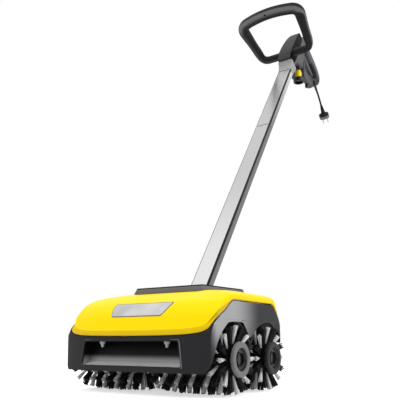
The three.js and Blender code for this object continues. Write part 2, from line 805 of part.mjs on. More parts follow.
function reductionGear() {
  const bore = reductionAxleRadius + clearance;
  const big = gearPrism(bigReduction, bigGearFrom, bigGearTo);
  const neckRadius = smallReductionRadius * (1 - dedendumShare / smallReductionTeeth * 2);
  const neck = rod('x', ...reductionAxis, neckRadius, bigGearTo - clearance, -gearHalfThickness + clearance);
  const small = gearPrism(smallReduction, -gearHalfThickness, gearHalfThickness);
  return cut(join(big, neck, small),
    rod('x', ...reductionAxis, bore, bigGearFrom - overrun, gearHalfThickness + overrun));
}

// Outline solids of the gear case: a flat train case and a raised part over the reduction
function trainCase(inset, from, to) {
  const rim = caseRim - inset;
  const radius = gearTipRadius(gearRadius, gearTeeth) + rim;
  const trainBlock = prism('x',
    rectangle(frontAxisY, axisHeight - radius, rearAxisY, axisHeight + radius), from, to);
  return join(trainBlock,
    rod('x', frontAxisY, axisHeight, radius, from, to, smallSides),
    rod('x', rearAxisY, axisHeight, radius, from, to, smallSides),
    rod('x', ...highIdlerAxis, gearTipRadius(highIdlerRadius, highIdlerTeeth) + rim, from, to),
    rod('x', ...reductionAxis, gearTipRadius(smallReductionRadius, smallReductionTeeth) + rim, from, to));
}

function reductionCase(inset, from, to) {
  return join(
    rod('x', ...reductionAxis, gearTipRadius(bigReductionRadius, bigReductionTeeth) + caseRim - inset,
      from, to),
    rod('x', ...motorAxis, pinionCaseRadius - inset, from, to, smallSides));
}

function caseShaftHoles() {
  return [frontAxisY, rearAxisY].map((y) =>
    rod('x', y, axisHeight, runningRadius, -raisedCaseDepth - overrun, raisedCaseDepth + overrun));
}

function gearCaseLeft() {
  const outside = join(
    trainCase(0, -caseHalfThickness, -clearance / 2),
    reductionCase(0, -raisedCaseDepth, -clearance / 2));
  const inside = join(
    trainCase(caseWall, -caseHalfThickness + caseWall, overrun),
    reductionCase(caseWall, -raisedCaseDepth + caseWall, overrun));
  const rotorHole = rod('x', ...motorAxis, rotorShaftRadius + clearance,
    -raisedCaseDepth - overrun, -raisedCaseDepth + overrun);
  return cut(outside, inside, rotorHole, ...caseShaftHoles());
}

function gearCaseRight() {
  const inner = caseHalfThickness - caseWall;
  const outside = join(
    trainCase(0, clearance / 2, caseHalfThickness),
    reductionCase(0, clearance / 2, caseHalfThickness));
  const inside = join(trainCase(caseWall, -overrun, inner), reductionCase(caseWall, -overrun, inner));
  const axles = [frontIdlerAxis, rearIdlerAxis, highIdlerAxis].map((axis) =>
    rod('x', ...axis, idlerAxleRadius, -inner + clearance, inner + clearance, smallSides));
  const reductionAxle = rod('x', ...reductionAxis, reductionAxleRadius,
    -raisedCaseDepth + caseWall + clearance, inner + clearance, smallSides);
  return join(cut(outside, inside, ...caseShaftHoles()), ...axles, reductionAxle);
}

// Motor beside the gear case

function motorHousing() {
  const nose = -raisedCaseDepth - clearance;
  const hole = rotorShaftRadius + clearance;
  return turnedAlongX([
    [hole, motorEnd], [motorRadius, motorEnd], [motorRadius, motorStart], [motorNoseRadius, motorStart],
    [motorNoseRadius, nose], [hole, nose], [hole, motorStart - motorWall],
    [motorRadius - motorWall, motorStart - motorWall], [motorRadius - motorWall, motorEnd + motorWall],
    [hole, motorEnd + motorWall], [hole, motorEnd],
  ], ...motorAxis, roundSides);
}

function motorStator() {
  return turnedAlongX(ringOutline(rotorRadius + statorGap, motorRadius - motorWall - clearance,
    rotorFrom + statorInset, rotorTo - statorInset), ...motorAxis, roundSides);
}

function motorRotor() {
  const outline = [
    [0, motorEnd + clearance], [rotorShaftRadius, motorEnd + clearance], [rotorShaftRadius, rotorFrom],
    [rotorRadius, rotorFrom], [rotorRadius, rotorTo], [rotorShaftRadius, rotorTo],
    [rotorShaftRadius, bigGearFrom + clearance], [0, bigGearFrom + clearance],
  ];
  return join(turnedAlongX(outline, ...motorAxis, roundSides), gearPrism(pinion, bigGearFrom, bigGearTo));
}

// Rollers

function strandGeometry(side, rootX, tipX, tipReach, angle) {
  const axial = new THREE.Vector3(side, 0, 0);
  const radial = new THREE.Vector3(0, Math.cos(angle), Math.sin(angle));
  const around = new THREE.Vector3(0, -Math.sin(angle), Math.cos(angle));
  const ringAt = (x, reach, radius) => Array.from({ length: strandSides }, (_, i) => {
    const turn = 2 * Math.PI * i / strandSides;
    return new THREE.Vector3(side * x, 0, 0)
      .addScaledVector(radial, reach)
      .addScaledVector(axial, radius * Math.cos(turn))
      .addScaledVector(around, radius * Math.sin(turn));
  });
  const root = ringAt(rootX, sleeveRadius - strandRootSink, strandRootRadius);
  const tip = ringAt(tipX, tipReach, strandTipRadius);
  const faces = [];
  for (let i = 0; i < strandSides; i += 1) {
    const next = (i + 1) % strandSides;
    faces.push(root[i], tip[next], tip[i], root[i], root[next], tip[next]);
    if (i > 0 && i < strandSides - 1) faces.push(tip[0], tip[i], tip[next], root[0], root[next], root[i]);
  }
  return faces;
}

// Strands stand in staggered rows on the facets of the sleeve. The end rows fan out towards the
// ends of the roller.
function strands(side) {
  const points = [];
  for (let row = 0; row < strandRows; row += 1) {
    const share = row / (strandRows - 1);
    const rootX = strandFirstRoot + share * (strandLastRoot - strandFirstRoot);
    const fan = outerFan * share ** (strandRows - 1) - innerFan * (1 - share) ** (strandRows - 1);
    const tipReach = rollerRadius - fanShorten * Math.abs(fan) / outerFan;
    for (let i = 0; i < strandsAround; i += 1) {
      const angle = -Math.PI / 2 + 2 * Math.PI * (i + (row % 2) / 2) / strandsAround;
      points.push(...strandGeometry(side, rootX, rootX + fan, tipReach, angle));
    }
  }
  return toSolid(new THREE.BufferGeometry().setFromPoints(points));
}

// A sleeve round the roller's axis, with a facet straight below it
function facetedSleeve(inner, outer, side, near, far) {
  const outline = ringOutline(inner, outer, side < 0 ? -far : near, side < 0 ? -near : far);
  const geometry = new THREE.LatheGeometry(outline.map(([r, x]) => new THREE.Vector2(r, x)),
    sleeveSides, Math.PI / sleeveSides);
  return toSolid(geometry.rotateZ(-Math.PI / 2));
}

function bristles(side) {
  const sleeve = facetedSleeve(coreRadius + clearance, sleeveRadius, side, sleeveStart, sleeveEnd);
  const wide = headHalfWidth + overrun;
  const floor = block(-wide, -rollerRadius, -axisHeight - overrun, wide, rollerRadius, -axisHeight);
  return cut(join(sleeve, strands(side)), floor);
}

function rollerCore(side) {
  return facetedSleeve(runningRadius, coreRadius, side, caseHalfThickness + clearance, sleeveEnd);
}

function hubRing(side) {
  const back = sleeveEnd + clearance;
  const floor = back + hubFloor;
  const outline = [
    [runningRadius, back], [hubRadius, back], [hubRadius, hubFace - hubChamfer],
    [hubRadius - hubChamfer, hubFace], [hubBoreRadius, hubFace], [hubBoreRadius, floor],
    [hubBossRadius, floor],
    [hubBossRadius, floor + hubBossHeight], [runningRadius, floor + hubBossHeight], [runningRadius, back],
  ];
  return turnedAlongX(outline.map(([r, x]) => [r, side * x]), 0, 0);
}

function rollerPair(name, axisY, gear) {
  const group = new THREE.Group();
  const place = (mesh) => {
    mesh.position.set(0, axisY, axisHeight);
    return mesh;
  };
  group.add(place(part(`${name}_shaft`,
    rod('x', 0, 0, shaftRadius, -shaftHalfLength, shaftHalfLength), steel)));
  group.add(part(`${name}_drive_gear`, thinGear(gear, runningRadius), steel));
  for (const side of [-1, 1]) {
    group.add(place(part(`${name}_roller_core_${sideName(side)}`, rollerCore(side), blackPlastic)));
    group.add(place(part(`${name}_bristles_${sideName(side)}`, bristles(side), bristleNylon)));
    group.add(place(part(`${name}_hub_ring_${sideName(side)}`, hubRing(side), greyPlastic)));
  }
  return group;
}

// Handle tube. In its group +Z runs up the tube and +Y points behind it.

const tubeOutline = (grow) =>
  roundedRectangle(tubeHalfWidth + grow, tubeHalfDepth + grow, tubeCorner + grow);
const tubePiece = (outer, inner, from, to) =>
  prism('z', tubeOutline(outer), from, to, [tubeOutline(inner)]);

function tubeFoot() {
  const eyeHalfWidth = earInner - clearance;
  const plug = -tubeWall - clearance;
  const solid = join(
    rod('x', 0, 0, footEyeRadius, -eyeHalfWidth, eyeHalfWidth),
    block(-tubeHalfWidth, -footNeckHalfDepth, 0, tubeHalfWidth, footNeckHalfDepth, tubeStart - clearance),
    prism('z', tubeOutline(0), tubeStart - clearance - footFlangeHeight, tubeStart - clearance),
    prism('z', tubeOutline(plug), tubeStart - footFlangeHeight, tubeStart + footPlugLength));
  return cut(solid, rod('x', 0, 0, runningRadius, -eyeHalfWidth - overrun, eyeHalfWidth + overrun));
}

function pivotPin() {
  const end = earInner + earThickness + clearance;
  return turnedAlongX([
    [0, -end - pinHeadHeight], [pinHeadRadius, -end - pinHeadHeight], [pinHeadRadius, -end],
    [shaftRadius, -end], [shaftRadius, end], [pinHeadRadius, end], [pinHeadRadius, end + pinHeadHeight],
    [0, end + pinHeadHeight],
  ], pivotY, pivotZ, smallSides);
}

function jointSleeve() {
  const outer = -tubeWall - clearance;
  return tubePiece(outer, outer - jointSleeveWall, lowerTubeEnd - jointSleeveHalf,
    lowerTubeEnd + jointSleeveHalf);
}

function waterPipe() {
  const wall = tubeWall + clearance + jointSleeveWall + clearance;
  const y = -tubeHalfDepth + wall + waterPipeRadius;
  const outside = circle(waterPipeX, y, waterPipeRadius, smallSides);
  const bore = circle(waterPipeX, y, waterPipeBore, smallSides);
  return prism('z', outside, tubeStart + footPlugLength + clearance, upperTubeEnd - clearance, [bore]);
}

function tubeCollar() {
  const sleeve = prism('z', tubeOutline(collarWall), collarStart, collarTop);
  const bore = prism('z', tubeOutline(clearance), collarStart - overrun, upperTubeEnd + clearance);
  const spigot = block(-spigotHalfWidth, -spigotHalfDepth, collarTop - clearance,
    spigotHalfWidth, spigotHalfDepth, collarTop + spigotLength);
  return join(cut(sleeve, bore), spigot);
}

// Handle head: a front cover, two half shells with the rear grip, and the front loop

const spineBase = collarTop + clearance;
const shellPoint = ([u, v]) => [u * gripReach, spineBase + v * spineLength];

function spigotRoom() {
  return block(-spigotHalfWidth - clearance, -spigotHalfDepth - clearance, collarTop - overrun,
    spigotHalfWidth + clearance, spigotHalfDepth + clearance, collarTop + spigotLength + clearance);
}

function coverBody(inset, drop) {
  const side = [
    [coverBack + drop, spineBase],
    ...coverSideShares.map(([u, v]) => [-u * coverDepth, spineBase + v * spineLength]),
    [coverBack + drop, spineBase + spineLength],
  ];
  const front = mirrored(coverFrontShares.map(([u, v]) =>
    [u * coverHalfWidth, spineBase + v * spineLength]));
  return common(
    prism('x', offset(side, -inset), -coverHalfWidth, coverHalfWidth),
    prism('y', offset(front, -inset), -coverDepth, overrun));
}

function spineCover() {
  const half = loopNearBar / 2 + clearance;
  const high = loopHeight / 2 + clearance;
  const barRoom = rotatedAboutX(
    block(-coverHalfWidth - overrun, -half, -high, coverHalfWidth + overrun, half, high), loopTilt)
    .translate(0, loopBehind, collarTop + loopAlong);
  return cut(coverBody(0, 0), coverBody(shellWall, overrun), toSolid(barRoom), spigotRoom());
}

function rotatedAboutX(solid, degrees) {
  return part('', solid, blackPlastic).geometry.rotateX(THREE.MathUtils.degToRad(degrees));
}

function reliefRod(radius, from, to) {
  const [y, z] = shellPoint(reliefBaseShares);
  return rotatedAboutX(rod('y', 0, 0, radius, from, to), reliefPitch).translate(0, y, z);
}

function valveRod(radius, from, to) {
  const geometry = part('', rod('z', 0, 0, radius, from, to), blackPlastic).geometry;
  return toSolid(handleLocal(geometry));
}

// Brings a shape that stands upright at the valve into the leaning handle's own frame
function handleLocal(geometry) {
  return geometry.translate(0, valveY - pivotY, -pivotZ).rotateX(outwardSlope);
}

function shellBody(inset, from, to) {
  const outer = [
    [shellFront - (inset ? overrun : 0), spineBase], ...shellShares.map(shellPoint),
    [shellFront - (inset ? overrun : 0), spineBase + spineLength],
  ];
  const opening = fingerOpeningShares.map(shellPoint);
  return prism('x', offset(outer, -inset), from, to, [offset(opening, inset)]);
}

function handleShell(side) {
  const [near, far] = [clearance / 2, gripHalfWidth];
  const span = (a, b) => (side < 0 ? [-b, -a] : [a, b]);
  const outside = shellBody(0, ...span(near, far));
  const inside = shellBody(shellWall, ...span(-overrun, far - shellWall));
  const [slotLow, slotHigh] = triggerSlotShares.map(shellPoint);
  const triggerRoom = block(-triggerHalfWidth - clearance, slotLow[0], slotLow[1],
    triggerHalfWidth + clearance, slotHigh[0], slotHigh[1]);
  return cut(outside, inside, triggerRoom, spigotRoom(),
    valveRod(valveRadius + clearance, valveBlockBottom - overrun, valveTop + clearance),
    toSolid(reliefRod(reliefRadius + clearance, -overrun, reliefLength)));
}

// The loop's own frame: x across, y towards the front of the loop, z along the tube. The far
// bar is arched a little.
function loopContour(far, side, near, corner) {
  const outline = mirrored([
    [loopNearHalfWidth + side, near], [loopFarHalfWidth + side, loopReach + far],
  ]);
  const curved = rounded(outline, corner);
  const fine = curved.flatMap(([x, y], i) => {
    const [nextX, nextY] = curved[(i + 1) % curved.length];
    const pieces = Math.hypot(nextX - x, nextY - y) > loopCorner && y > loopReach / 2 ? loopArchSteps : 1;
    return Array.from({ length: pieces }, (_, k) => [
      x + (nextX - x) * k / pieces, y + (nextY - y) * k / pieces]);
  });
  return fine.map(([x, y]) =>
    (y > loopReach / 2 ? [x, y + loopArch * (1 - (x / loopFarHalfWidth) ** 2)] : [x, y]));
}

function loopHalf(upper) {
  const outside = loopContour(loopFarBar / 2, loopSideBar / 2, -loopNearBar / 2, loopCorner);
  const opening = loopContour(-loopFarBar / 2, -loopSideBar / 2, loopNearBar / 2, loopInnerCorner);
  const half = loopHeight / 2;
  const ring = softPrism(outside, opening, -half, half, loopBevel);
  const hollow = softPrism(offset(outside, -loopWall), offset(opening, loopWall),
    -half + loopWall, half - loopWall, loopBevel - loopWall / 2);
  const wide = loopFarHalfWidth + loopReach;
  const keep = upper
    ? block(-wide, -wide, clearance / 2, wide, wide, loopHeight)
    : block(-wide, -wide, -loopHeight, wide, wide, -clearance / 2);
  const shell = cut(common(ring, keep), hollow);
  const screwHoles = [-1, 1].map((side) => rod('z', side * loopScrewX, loopReach + loopArch,
    loopScrewRadius + clearance, -loopHeight, 0, smallSides));
  return upper ? shell : cut(shell, ...screwHoles);
}

function loopScrew(side) {
  const half = loopHeight / 2;
  return rod('z', side * loopScrewX, loopReach + loopArch, loopScrewRadius, -half + loopWall,
    -half + loopWall + loopScrewDepth, smallSides);
}

function frontLoop() {
  const group = new THREE.Group();
  group.position.set(0, loopBehind, collarTop + loopAlong);
  group.rotation.x = THREE.MathUtils.degToRad(loopTilt);
  const flipped = new THREE.Group();
  flipped.rotation.z = Math.PI;
  flipped.add(part('loop_upper_shell', loopHalf(true), blackPlastic));
  flipped.add(part('loop_lower_shell', loopHalf(false), blackPlastic));
  for (const side of [-1, 1]) {
    flipped.add(part(`loop_screw_${sideName(side)}`, loopScrew(side), steel));
  }
  group.add(flipped);
  return group;
}

function trigger() {
  const [y, z] = shellPoint(triggerPivotShares);
  return prism('x', triggerShares.map(shellPoint), -triggerHalfWidth, triggerHalfWidth,
    [circle(y, z, triggerPinRadius + clearance, smallSides)]);
}

function triggerPin() {
  const [y, z] = shellPoint(triggerPivotShares);
  const half = gripHalfWidth - shellWall - clearance;
  return rod('x', y, z, triggerPinRadius, -half, half, smallSides);
}

function powerSwitch() {
  const [from, to] = [switchFromShares, switchToShares].map(shellPoint);
  const halfWidth = gripHalfWidth - shellWall - clearance;
  return block(-halfWidth, from[0], from[1], halfWidth, to[0], to[1]);
}

function uprightPiece(outline, sides = smallSides) {
  return toSolid(handleLocal(turnedGeometry(outline, sides).rotateX(Math.PI / 2)));
}

function valveBody() {
  return uprightPiece([
    [0, couplingTop + clearance], [valveStemRadius, couplingTop + clearance],
    [valveStemRadius, valveBlockBottom], [valveRadius, valveBlockBottom], [valveRadius, valveTop],
    [0, valveTop],
  ]);
}

function valveKnob() {
  const bore = valveStemRadius + clearance;
  const from = couplingTop + 2 * clearance;
  const to = valveBlockBottom - clearance;
  const rise = (to - from) / 4;
  return uprightPiece([
    [bore, from], [knobEndRadius, from], [knobRadius, from + rise], [knobRadius, to - rise],
    [knobEndRadius, to], [bore, to], [bore, from],
  ]);
}

function hoseCoupling() {
  return uprightPiece([
    [0, couplingTop], [couplingRadius, couplingTop], [couplingRadius, couplingBottom],
    [couplingBoreRadius, couplingBottom], [couplingBoreRadius, couplingTop - couplingFloor],
    [nippleRadius, couplingTop - couplingFloor], [nippleRadius, couplingTop - couplingFloor - nippleHeight],
    [0, couplingTop - couplingFloor - nippleHeight],
  ], roundSides);
}

// The hook lies along the underside of the guard, which shellShares gives between two points
function cableHook() {
  const [from, to] = shellShares.slice(6, 8).map((share) => new THREE.Vector2(...shellPoint(share)));
  const along = to.clone().sub(from);
  const outward = new THREE.Vector2(along.y, -along.x).normalize();
  const outline = hookShares.map(([alongShare, outShare]) => from.clone()
    .addScaledVector(along, alongShare)
    .addScaledVector(outward, clearance + outShare * hookReach)
    .toArray());
  return prism('x', outline, -hookHalfWidth, hookHalfWidth);
}

// Mains lead: the relief sits in the grip's end, the cord and its plug hang from it

function strainRelief() {
  const outline = [
    [0, -reliefFlange], [reliefFlangeRadius, -reliefFlange], [reliefFlangeRadius, 0], [reliefRadius, 0],
    [reliefRadius, shellWall], [reliefTipRadius, reliefLength], [0, reliefLength],
  ];
  const [y, z] = shellPoint(reliefBaseShares);
  const geometry = turnedGeometry(outline, smallSides)
    .rotateX(THREE.MathUtils.degToRad(reliefPitch)).translate(0, y, z);
  return toSolid(geometry);
}

// The lead hangs in the upright frame, so its route starts at the leaning relief's tip
function hangingRoute() {
  const [y, z] = shellPoint(reliefBaseShares);
  const tip = new THREE.Vector3(0, reliefLength + clearance, 0)
    .applyEuler(new THREE.Euler(THREE.MathUtils.degToRad(reliefPitch), 0, 0))
    .add(new THREE.Vector3(0, y, z))
    .applyEuler(new THREE.Euler(-outwardSlope, 0, 0))
    .add(new THREE.Vector3(0, pivotY, pivotZ));
  return cordRoute.map((step) => new THREE.Vector3(...step).add(tip));
}

function cord() {
  const curve = new THREE.CatmullRomCurve3(hangingRoute());
  const section = new THREE.Shape(
    circle(0, 0, cordRadius, cordSides).map(([u, v]) => new THREE.Vector2(u, v)));
  return toSolid(new THREE.ExtrudeGeometry(section, { steps: cordSteps, extrudePath: curve }));
}

function plug() {
  const { x, y, z } = hangingRoute().at(-1);
  const tilt = THREE.MathUtils.degToRad(plugPitch);
  const bodyEnd = bootLength + plugLength;
  const geometry = turnedGeometry([
    [0, 0], [bootTipRadius, 0], [bootRadius, bootLength - plugChamfer],
    [plugRadius - plugChamfer, bootLength],
    [plugRadius, bootLength + plugChamfer], [plugRadius, bodyEnd - plugChamfer],
    [plugRadius - plugChamfer, bodyEnd], [0, bodyEnd],
  ], roundSides);
  const pins = [-1, 1].map((side) => rod('y', side * plugPinSpacing / 2, 0, plugPinRadius,
    bodyEnd - clearance, bodyEnd + plugPinLength, screwSides));
  const whole = part('', join(toSolid(geometry), ...pins), rubber).geometry;
  return toSolid(whole.translate(0, clearance, 0).rotateX(tilt).translate(x, y, z));
}

// Assembly

const patioCleaner = new THREE.Group();
const machine = new THREE.Group();
patioCleaner.add(machine);

machine.add(part('lower_housing', lowerHousing(), blackPlastic));
machine.add(part('hood', hood(), yellowPlastic));
machine.add(part('deck', deck(), greyPlastic));
machine.add(part('badge_plate', badgePlate(), silverFoil));
machine.add(part('chassis', chassis(), castMetal));
machine.add(part('water_rail', waterRail(), greyPlastic));
machine.add(part('control_box', controlBox(), greyPlastic));
screwPlaces.forEach(([x, y]) => {
  machine.add(part(`deck_screw_${sideName(x)}`, deckScrew(x, y), steel));
});
for (const side of [-1, 1]) {
  machine.add(part(`spray_nozzle_${sideName(side)}`, sprayNozzle(side), lightGreyPlastic));
}
machine.add(part('gear_case_left', gearCaseLeft(), castMetal));
machine.add(part('gear_case_right', gearCaseRight(), castMetal));
machine.add(part('motor_housing', motorHousing(), castMetal));
machine.add(part('motor_stator', motorStator(), copper));
machine.add(part('motor_rotor', motorRotor(), steel));
machine.add(part('reduction_gear', reductionGear(), steel));
machine.add(part('high_idler_gear', thinGear(highIdler, idlerAxleRadius + clearance), steel));
machine.add(part('front_idler_gear', thinGear(frontIdler, idlerAxleRadius + clearance), steel));
machine.add(part('rear_idler_gear', thinGear(rearIdler, idlerAxleRadius + clearance), steel));
machine.add(part('pivot_pin', pivotPin(), steel));
machine.add(rollerPair('front', frontAxisY, frontGear));
machine.add(rollerPair('rear', rearAxisY, rearGear));

const handle = new THREE.Group();
handle.position.set(0, pivotY, pivotZ);
handle.rotation.x = -outwardSlope;
handle.add(part('tube_foot', tubeFoot(), blackPlastic));
handle.add(part('lower_tube', tubePiece(0, -tubeWall, tubeStart, lowerTubeEnd), aluminium));
handle.add(part('upper_tube',
  tubePiece(0, -tubeWall, lowerTubeEnd + clearance, upperTubeEnd), aluminium));
handle.add(part('tube_joint_sleeve', jointSleeve(), greyPlastic));
handle.add(part('water_pipe', waterPipe(), softBlack));
handle.add(part('tube_collar', tubeCollar(), lightGreyPlastic));
handle.add(part('spine_cover', spineCover(), greyPlastic));
for (const side of [-1, 1]) {
  handle.add(part(`grip_shell_${sideName(side)}`, handleShell(side), greyPlastic));
}
handle.add(frontLoop());
handle.add(part('trigger', trigger(), greyPlastic));
handle.add(part('trigger_pin', triggerPin(), steel));
handle.add(part('power_switch', powerSwitch(), softBlack));
handle.add(part('valve_body', valveBody(), greyPlastic));
handle.add(part('valve_knob', valveKnob(), yellowPlastic));
handle.add(part('hose_coupling', hoseCoupling(), blackPlastic));
handle.add(part('cable_hook', cableHook(), blackPlastic));
handle.add(part('strain_relief', strainRelief(), rubber));
machine.add(handle);
machine.add(part('cord', cord(), rubber));
machine.add(part('plug', plug(), rubber));

// The origin lies under the middle of the machine, which the hanging lead doesn't move
const leadNames = ['strain_relief', 'cord', 'plug'];
const bounds = new THREE.Box3();
machine.updateMatrixWorld(true);
machine.traverse((piece) => {
  if (piece.isMesh && !leadNames.includes(piece.name)) bounds.expandByObject(piece, true);
});
machine.position.y = -(bounds.min.y + bounds.max.y) / 2;

export default patioCleaner;
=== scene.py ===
"""Dresses a patio cleaner: moulded panels, bristle rollers, handle, mains lead and their finishes.

Each piece is modelled in millimetres in the frame of the part that carries it: the machine
(x across, y from the front to the rear, z up), the leaning handle, or the handle's front loop.
"""

import json
import math
import random

import bpy
import numpy as np
from bpy.props import FloatProperty, FloatVectorProperty, IntProperty, PointerProperty
from mathutils import Euler, Matrix, Vector

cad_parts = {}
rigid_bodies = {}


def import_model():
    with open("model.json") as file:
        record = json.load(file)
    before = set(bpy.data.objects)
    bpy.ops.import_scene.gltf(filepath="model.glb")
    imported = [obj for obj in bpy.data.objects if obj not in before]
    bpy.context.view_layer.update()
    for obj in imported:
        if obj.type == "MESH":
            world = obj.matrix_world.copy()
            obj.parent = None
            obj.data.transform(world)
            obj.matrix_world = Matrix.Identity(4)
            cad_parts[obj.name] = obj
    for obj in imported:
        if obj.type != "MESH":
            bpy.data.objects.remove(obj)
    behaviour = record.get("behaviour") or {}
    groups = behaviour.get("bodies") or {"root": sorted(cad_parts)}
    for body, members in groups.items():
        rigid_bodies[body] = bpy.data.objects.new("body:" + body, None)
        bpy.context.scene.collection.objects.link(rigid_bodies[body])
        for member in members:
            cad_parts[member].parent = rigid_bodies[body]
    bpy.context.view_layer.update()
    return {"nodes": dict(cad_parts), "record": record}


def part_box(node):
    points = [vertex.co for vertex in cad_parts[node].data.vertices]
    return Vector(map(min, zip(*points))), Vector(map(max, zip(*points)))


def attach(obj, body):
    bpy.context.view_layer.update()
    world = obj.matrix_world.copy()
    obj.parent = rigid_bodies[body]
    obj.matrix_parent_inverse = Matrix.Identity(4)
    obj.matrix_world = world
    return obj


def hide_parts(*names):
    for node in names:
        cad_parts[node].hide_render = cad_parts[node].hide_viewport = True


for leftover in list(bpy.data.objects):
    bpy.data.objects.remove(leftover)
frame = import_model()

bl_info = {
    "name": "Patio Cleaner",
    "version": (1, 0, 0),
    "blender": (4, 5, 0),
    "location": "3D View > Sidebar > Patio Cleaner",
    "description": "Models the visible pieces of an electric patio cleaner round its solids",
    "category": "Add Mesh",
}

MM = 0.001
PAINTS = {m["slot"]: tuple(m["base_color"]) for m in frame["record"]["materials"]}

# Head
HEAD_DEPTH = 300
HEAD_HALF_WIDTH = 187
HEAD_TOP = 205.5
HEAD_BOTTOM = 43
HEAD_REAR_BOTTOM = 98
LIP_DEPTH = 30
SEAM_FRONT = 110
SEAM_CORNER = 121
SEAM_POWER = 5
CROWN = 3
SETBACK = 11.5
BOW_POWER = 3.5
SIDE_DRAFT = 8
REAR_CORNER = 5
PROFILE_SHARES = [
    (0.065, 0.725), (0.143, 0.842), (0.257, 0.925), (0.34, 0.965), (0.44, 1.0),
    (0.83, 1.0), (0.905, 0.936), (0.975, 0.74), (1.0, 0.662),
]
SHOULDER_SHARES = [
    (1.0, 0.86), (0.985, 0.906), (0.95, 0.938), (0.888, 0.962), (0.75, 0.986), (0.6, 1.004), (0.3, 1.03),
]
SIDE_SEAM_SHARES = [
    (0.0383, 0.5888), (0.098, 0.672), (0.265, 0.849), (0.293, 0.869), (0.853, 0.869),
    (0.88, 0.852), (0.947, 0.754), (1.0, 0.66),
]
ARCH_SHARES = [
    (0.02, 0.2), (0.05, 0.292), (0.064, 0.345), (0.1, 0.467), (0.16, 0.567), (0.235, 0.655),
    (0.29, 0.664), (0.425, 0.664), (0.528, 0.513), (0.628, 0.618), (0.725, 0.672), (0.81, 0.672),
    (0.934, 0.602), (0.99, 0.463), (0.99, 0.2),
]
SHELF_HALF_WIDTH = 96
SHELF_FRONT = 105
SHELF_REAR = 235
PANEL_CREASE = 141
PANEL_EDGE = 1.4
PANEL_STEP = 0.8
PANEL_LEAN = 0.06
DECK_BOTTOM = 201.5
DECK_BAND_TOP = 213.4
DECK_TOP = 216
DECK_CENTRE = 205
DECK_TAPER = 0.06
DECK_CORNERS = [(96, 119), (111, 276.5), (100, 289)]
DECK_SCREW_X = 76
DECK_SCREW_Y = 150
SLOT_HALF = 27
SLOT_FRONT = 192
SLOT_FLOOR = 168
BADGE_LOW = 147.2
BADGE_HIGH = 175.6
BADGE_HALF = 78.5
BADGE_SLANT = 13.5

# Recess in the front with its two nozzles
RECESS_TOP = 100
RECESS_BOTTOM = 54.3
RECESS_TOP_HALF = 117.6
RECESS_BOTTOM_HALF = 123.9
RECESS_SKIN = 2.5
RAMP_TOP = 63
BLOCK_HALF = 127.9
RIM_WIDTH = 3.4
NOZZLE_X = 82.3
NOZZLE_Y = 14

# Rollers
AXIS_HEIGHT = 66.5
FRONT_AXIS = 96
REAR_AXIS = 233
CHAMBER_RADIUS = 71
TUFT_LENGTH = 37
# Spread of a tuft's roots and of its tips, and radius of a strand's root and of its tip
DARK_TUFT = (3.6, 6.9, 1.8, 1.4)
LIGHT_TUFT = (1.1, 4.5, 0.9, 1.25)
SLEEVE_RADIUS = 30
ROWS = 10
FIRST_ROW = 28
LAST_ROW = 177
INNER_FAN = 13
OUTER_FAN = 9
HUB_FACE = 198
HUB_BACK = 185.1
RING_BACK = 191
SLEEVE_BORE = 22.3
SLEEVE_START = 22
SLEEVE_END = 184
AXLES = (("front", FRONT_AXIS), ("rear", REAR_AXIS))
SIDES = (("left", -1), ("right", 1))

# Handle
LEAN = 34.2457
TUBE_HALF_WIDTH = 23.4
TUBE_HALF_DEPTH = 13
TUBE_CORNER = 5
TUBE_START = 20
TUBE_JOINT = 721
TUBE_END = 1056
JOINT_HALF = 1.4
STRIP = 7.5
STRIP_ROOM = 2.2
COLLAR_TOP = 1089
SPINE_BASE = 1051.3
SPINE_LENGTH = 260
GRIP_REACH = 196
GRIP_HALF = 16
GRIP_SPINE = 2.4
GRIP_ROUND = 6.5
COVER_DEPTH = 47
COVER_HALF = 27
COVER_BACK = 2.7
COVER_CORNER = 4.5
COVER_TOP_SHARE = 0.974
SHELL_SHARES = [
    (0.077, 0.0), (0.077, 0.231), (0.102, 0.365), (0.179, 0.431), (0.306, 0.492), (0.5, 0.496),
    (0.648, 0.512), (0.878, 0.631), (0.985, 0.815), (1.0, 0.892), (0.975, 0.962), (0.93, 1.0),
    (0.816, 1.031), (0.561, 1.042), (0.332, 1.031), (0.051, 1.012),
]
OPENING_SHARES = [
    (0.23, 0.7), (0.23, 0.862), (0.265, 0.885), (0.79, 0.885), (0.842, 0.823),
    (0.765, 0.738), (0.561, 0.65), (0.291, 0.638),
]
GUARD_SHARES = [
    (0.33, 0.4), (1.2, 0.4), (1.2, 0.79), (0.9, 0.79), (0.8, 0.72), (0.56, 0.66), (0.38, 0.65),
]
GUARD_HALF = 9
SOFT_SKIN = 0.6
COVER_SIDE_SHARES = [
    (0.51, 0.0), (0.77, 0.115), (1.0, 0.296), (0.98, 0.54), (0.86, 0.75), (0.68, 0.885),
    (0.48, 0.94), (0.28, 0.964), (0.12, 0.974),
]
COVER_FRONT_SHARES = [
    (0.74, 0.0), (0.96, 0.23), (1.0, 0.346), (0.92, 0.615), (0.78, 0.8), (0.62, 0.9),
    (0.42, 0.955), (0.2, 0.974),
]
TRIGGER_SHARES = [
    (0.13, 0.765), (0.25, 0.75), (0.6, 0.76), (0.75, 0.79), (0.76, 0.825), (0.7, 0.838),
    (0.25, 0.838), (0.17, 0.83),
]
RELIEF_SHARES = (0.94, 0.822)
RELIEF_PITCH = -9
RELIEF_LENGTH = 30
VALVE_Y = 916
GAP = 0.3

# The lead's route, in steps from the strain relief's tip
CORD_ROUTE = [
    (0, 0, 0), (0, 3.3, -3.1), (0, 6.5, -6.3), (0, 9.6, -9.5), (0, 12.6, -12.8), (0, 15.6, -16.1),
    (0, 18.5, -19.5), (0, 21.3, -23), (0, 24.1, -26.5), (0, 26.8, -30), (0, 29.5, -33.6),
    (0, 32.2, -37.2), (0, 34.9, -40.8), (0, 37.6, -44.4), (0, 40.3, -48),
]
PLUG_PITCH = -53.13

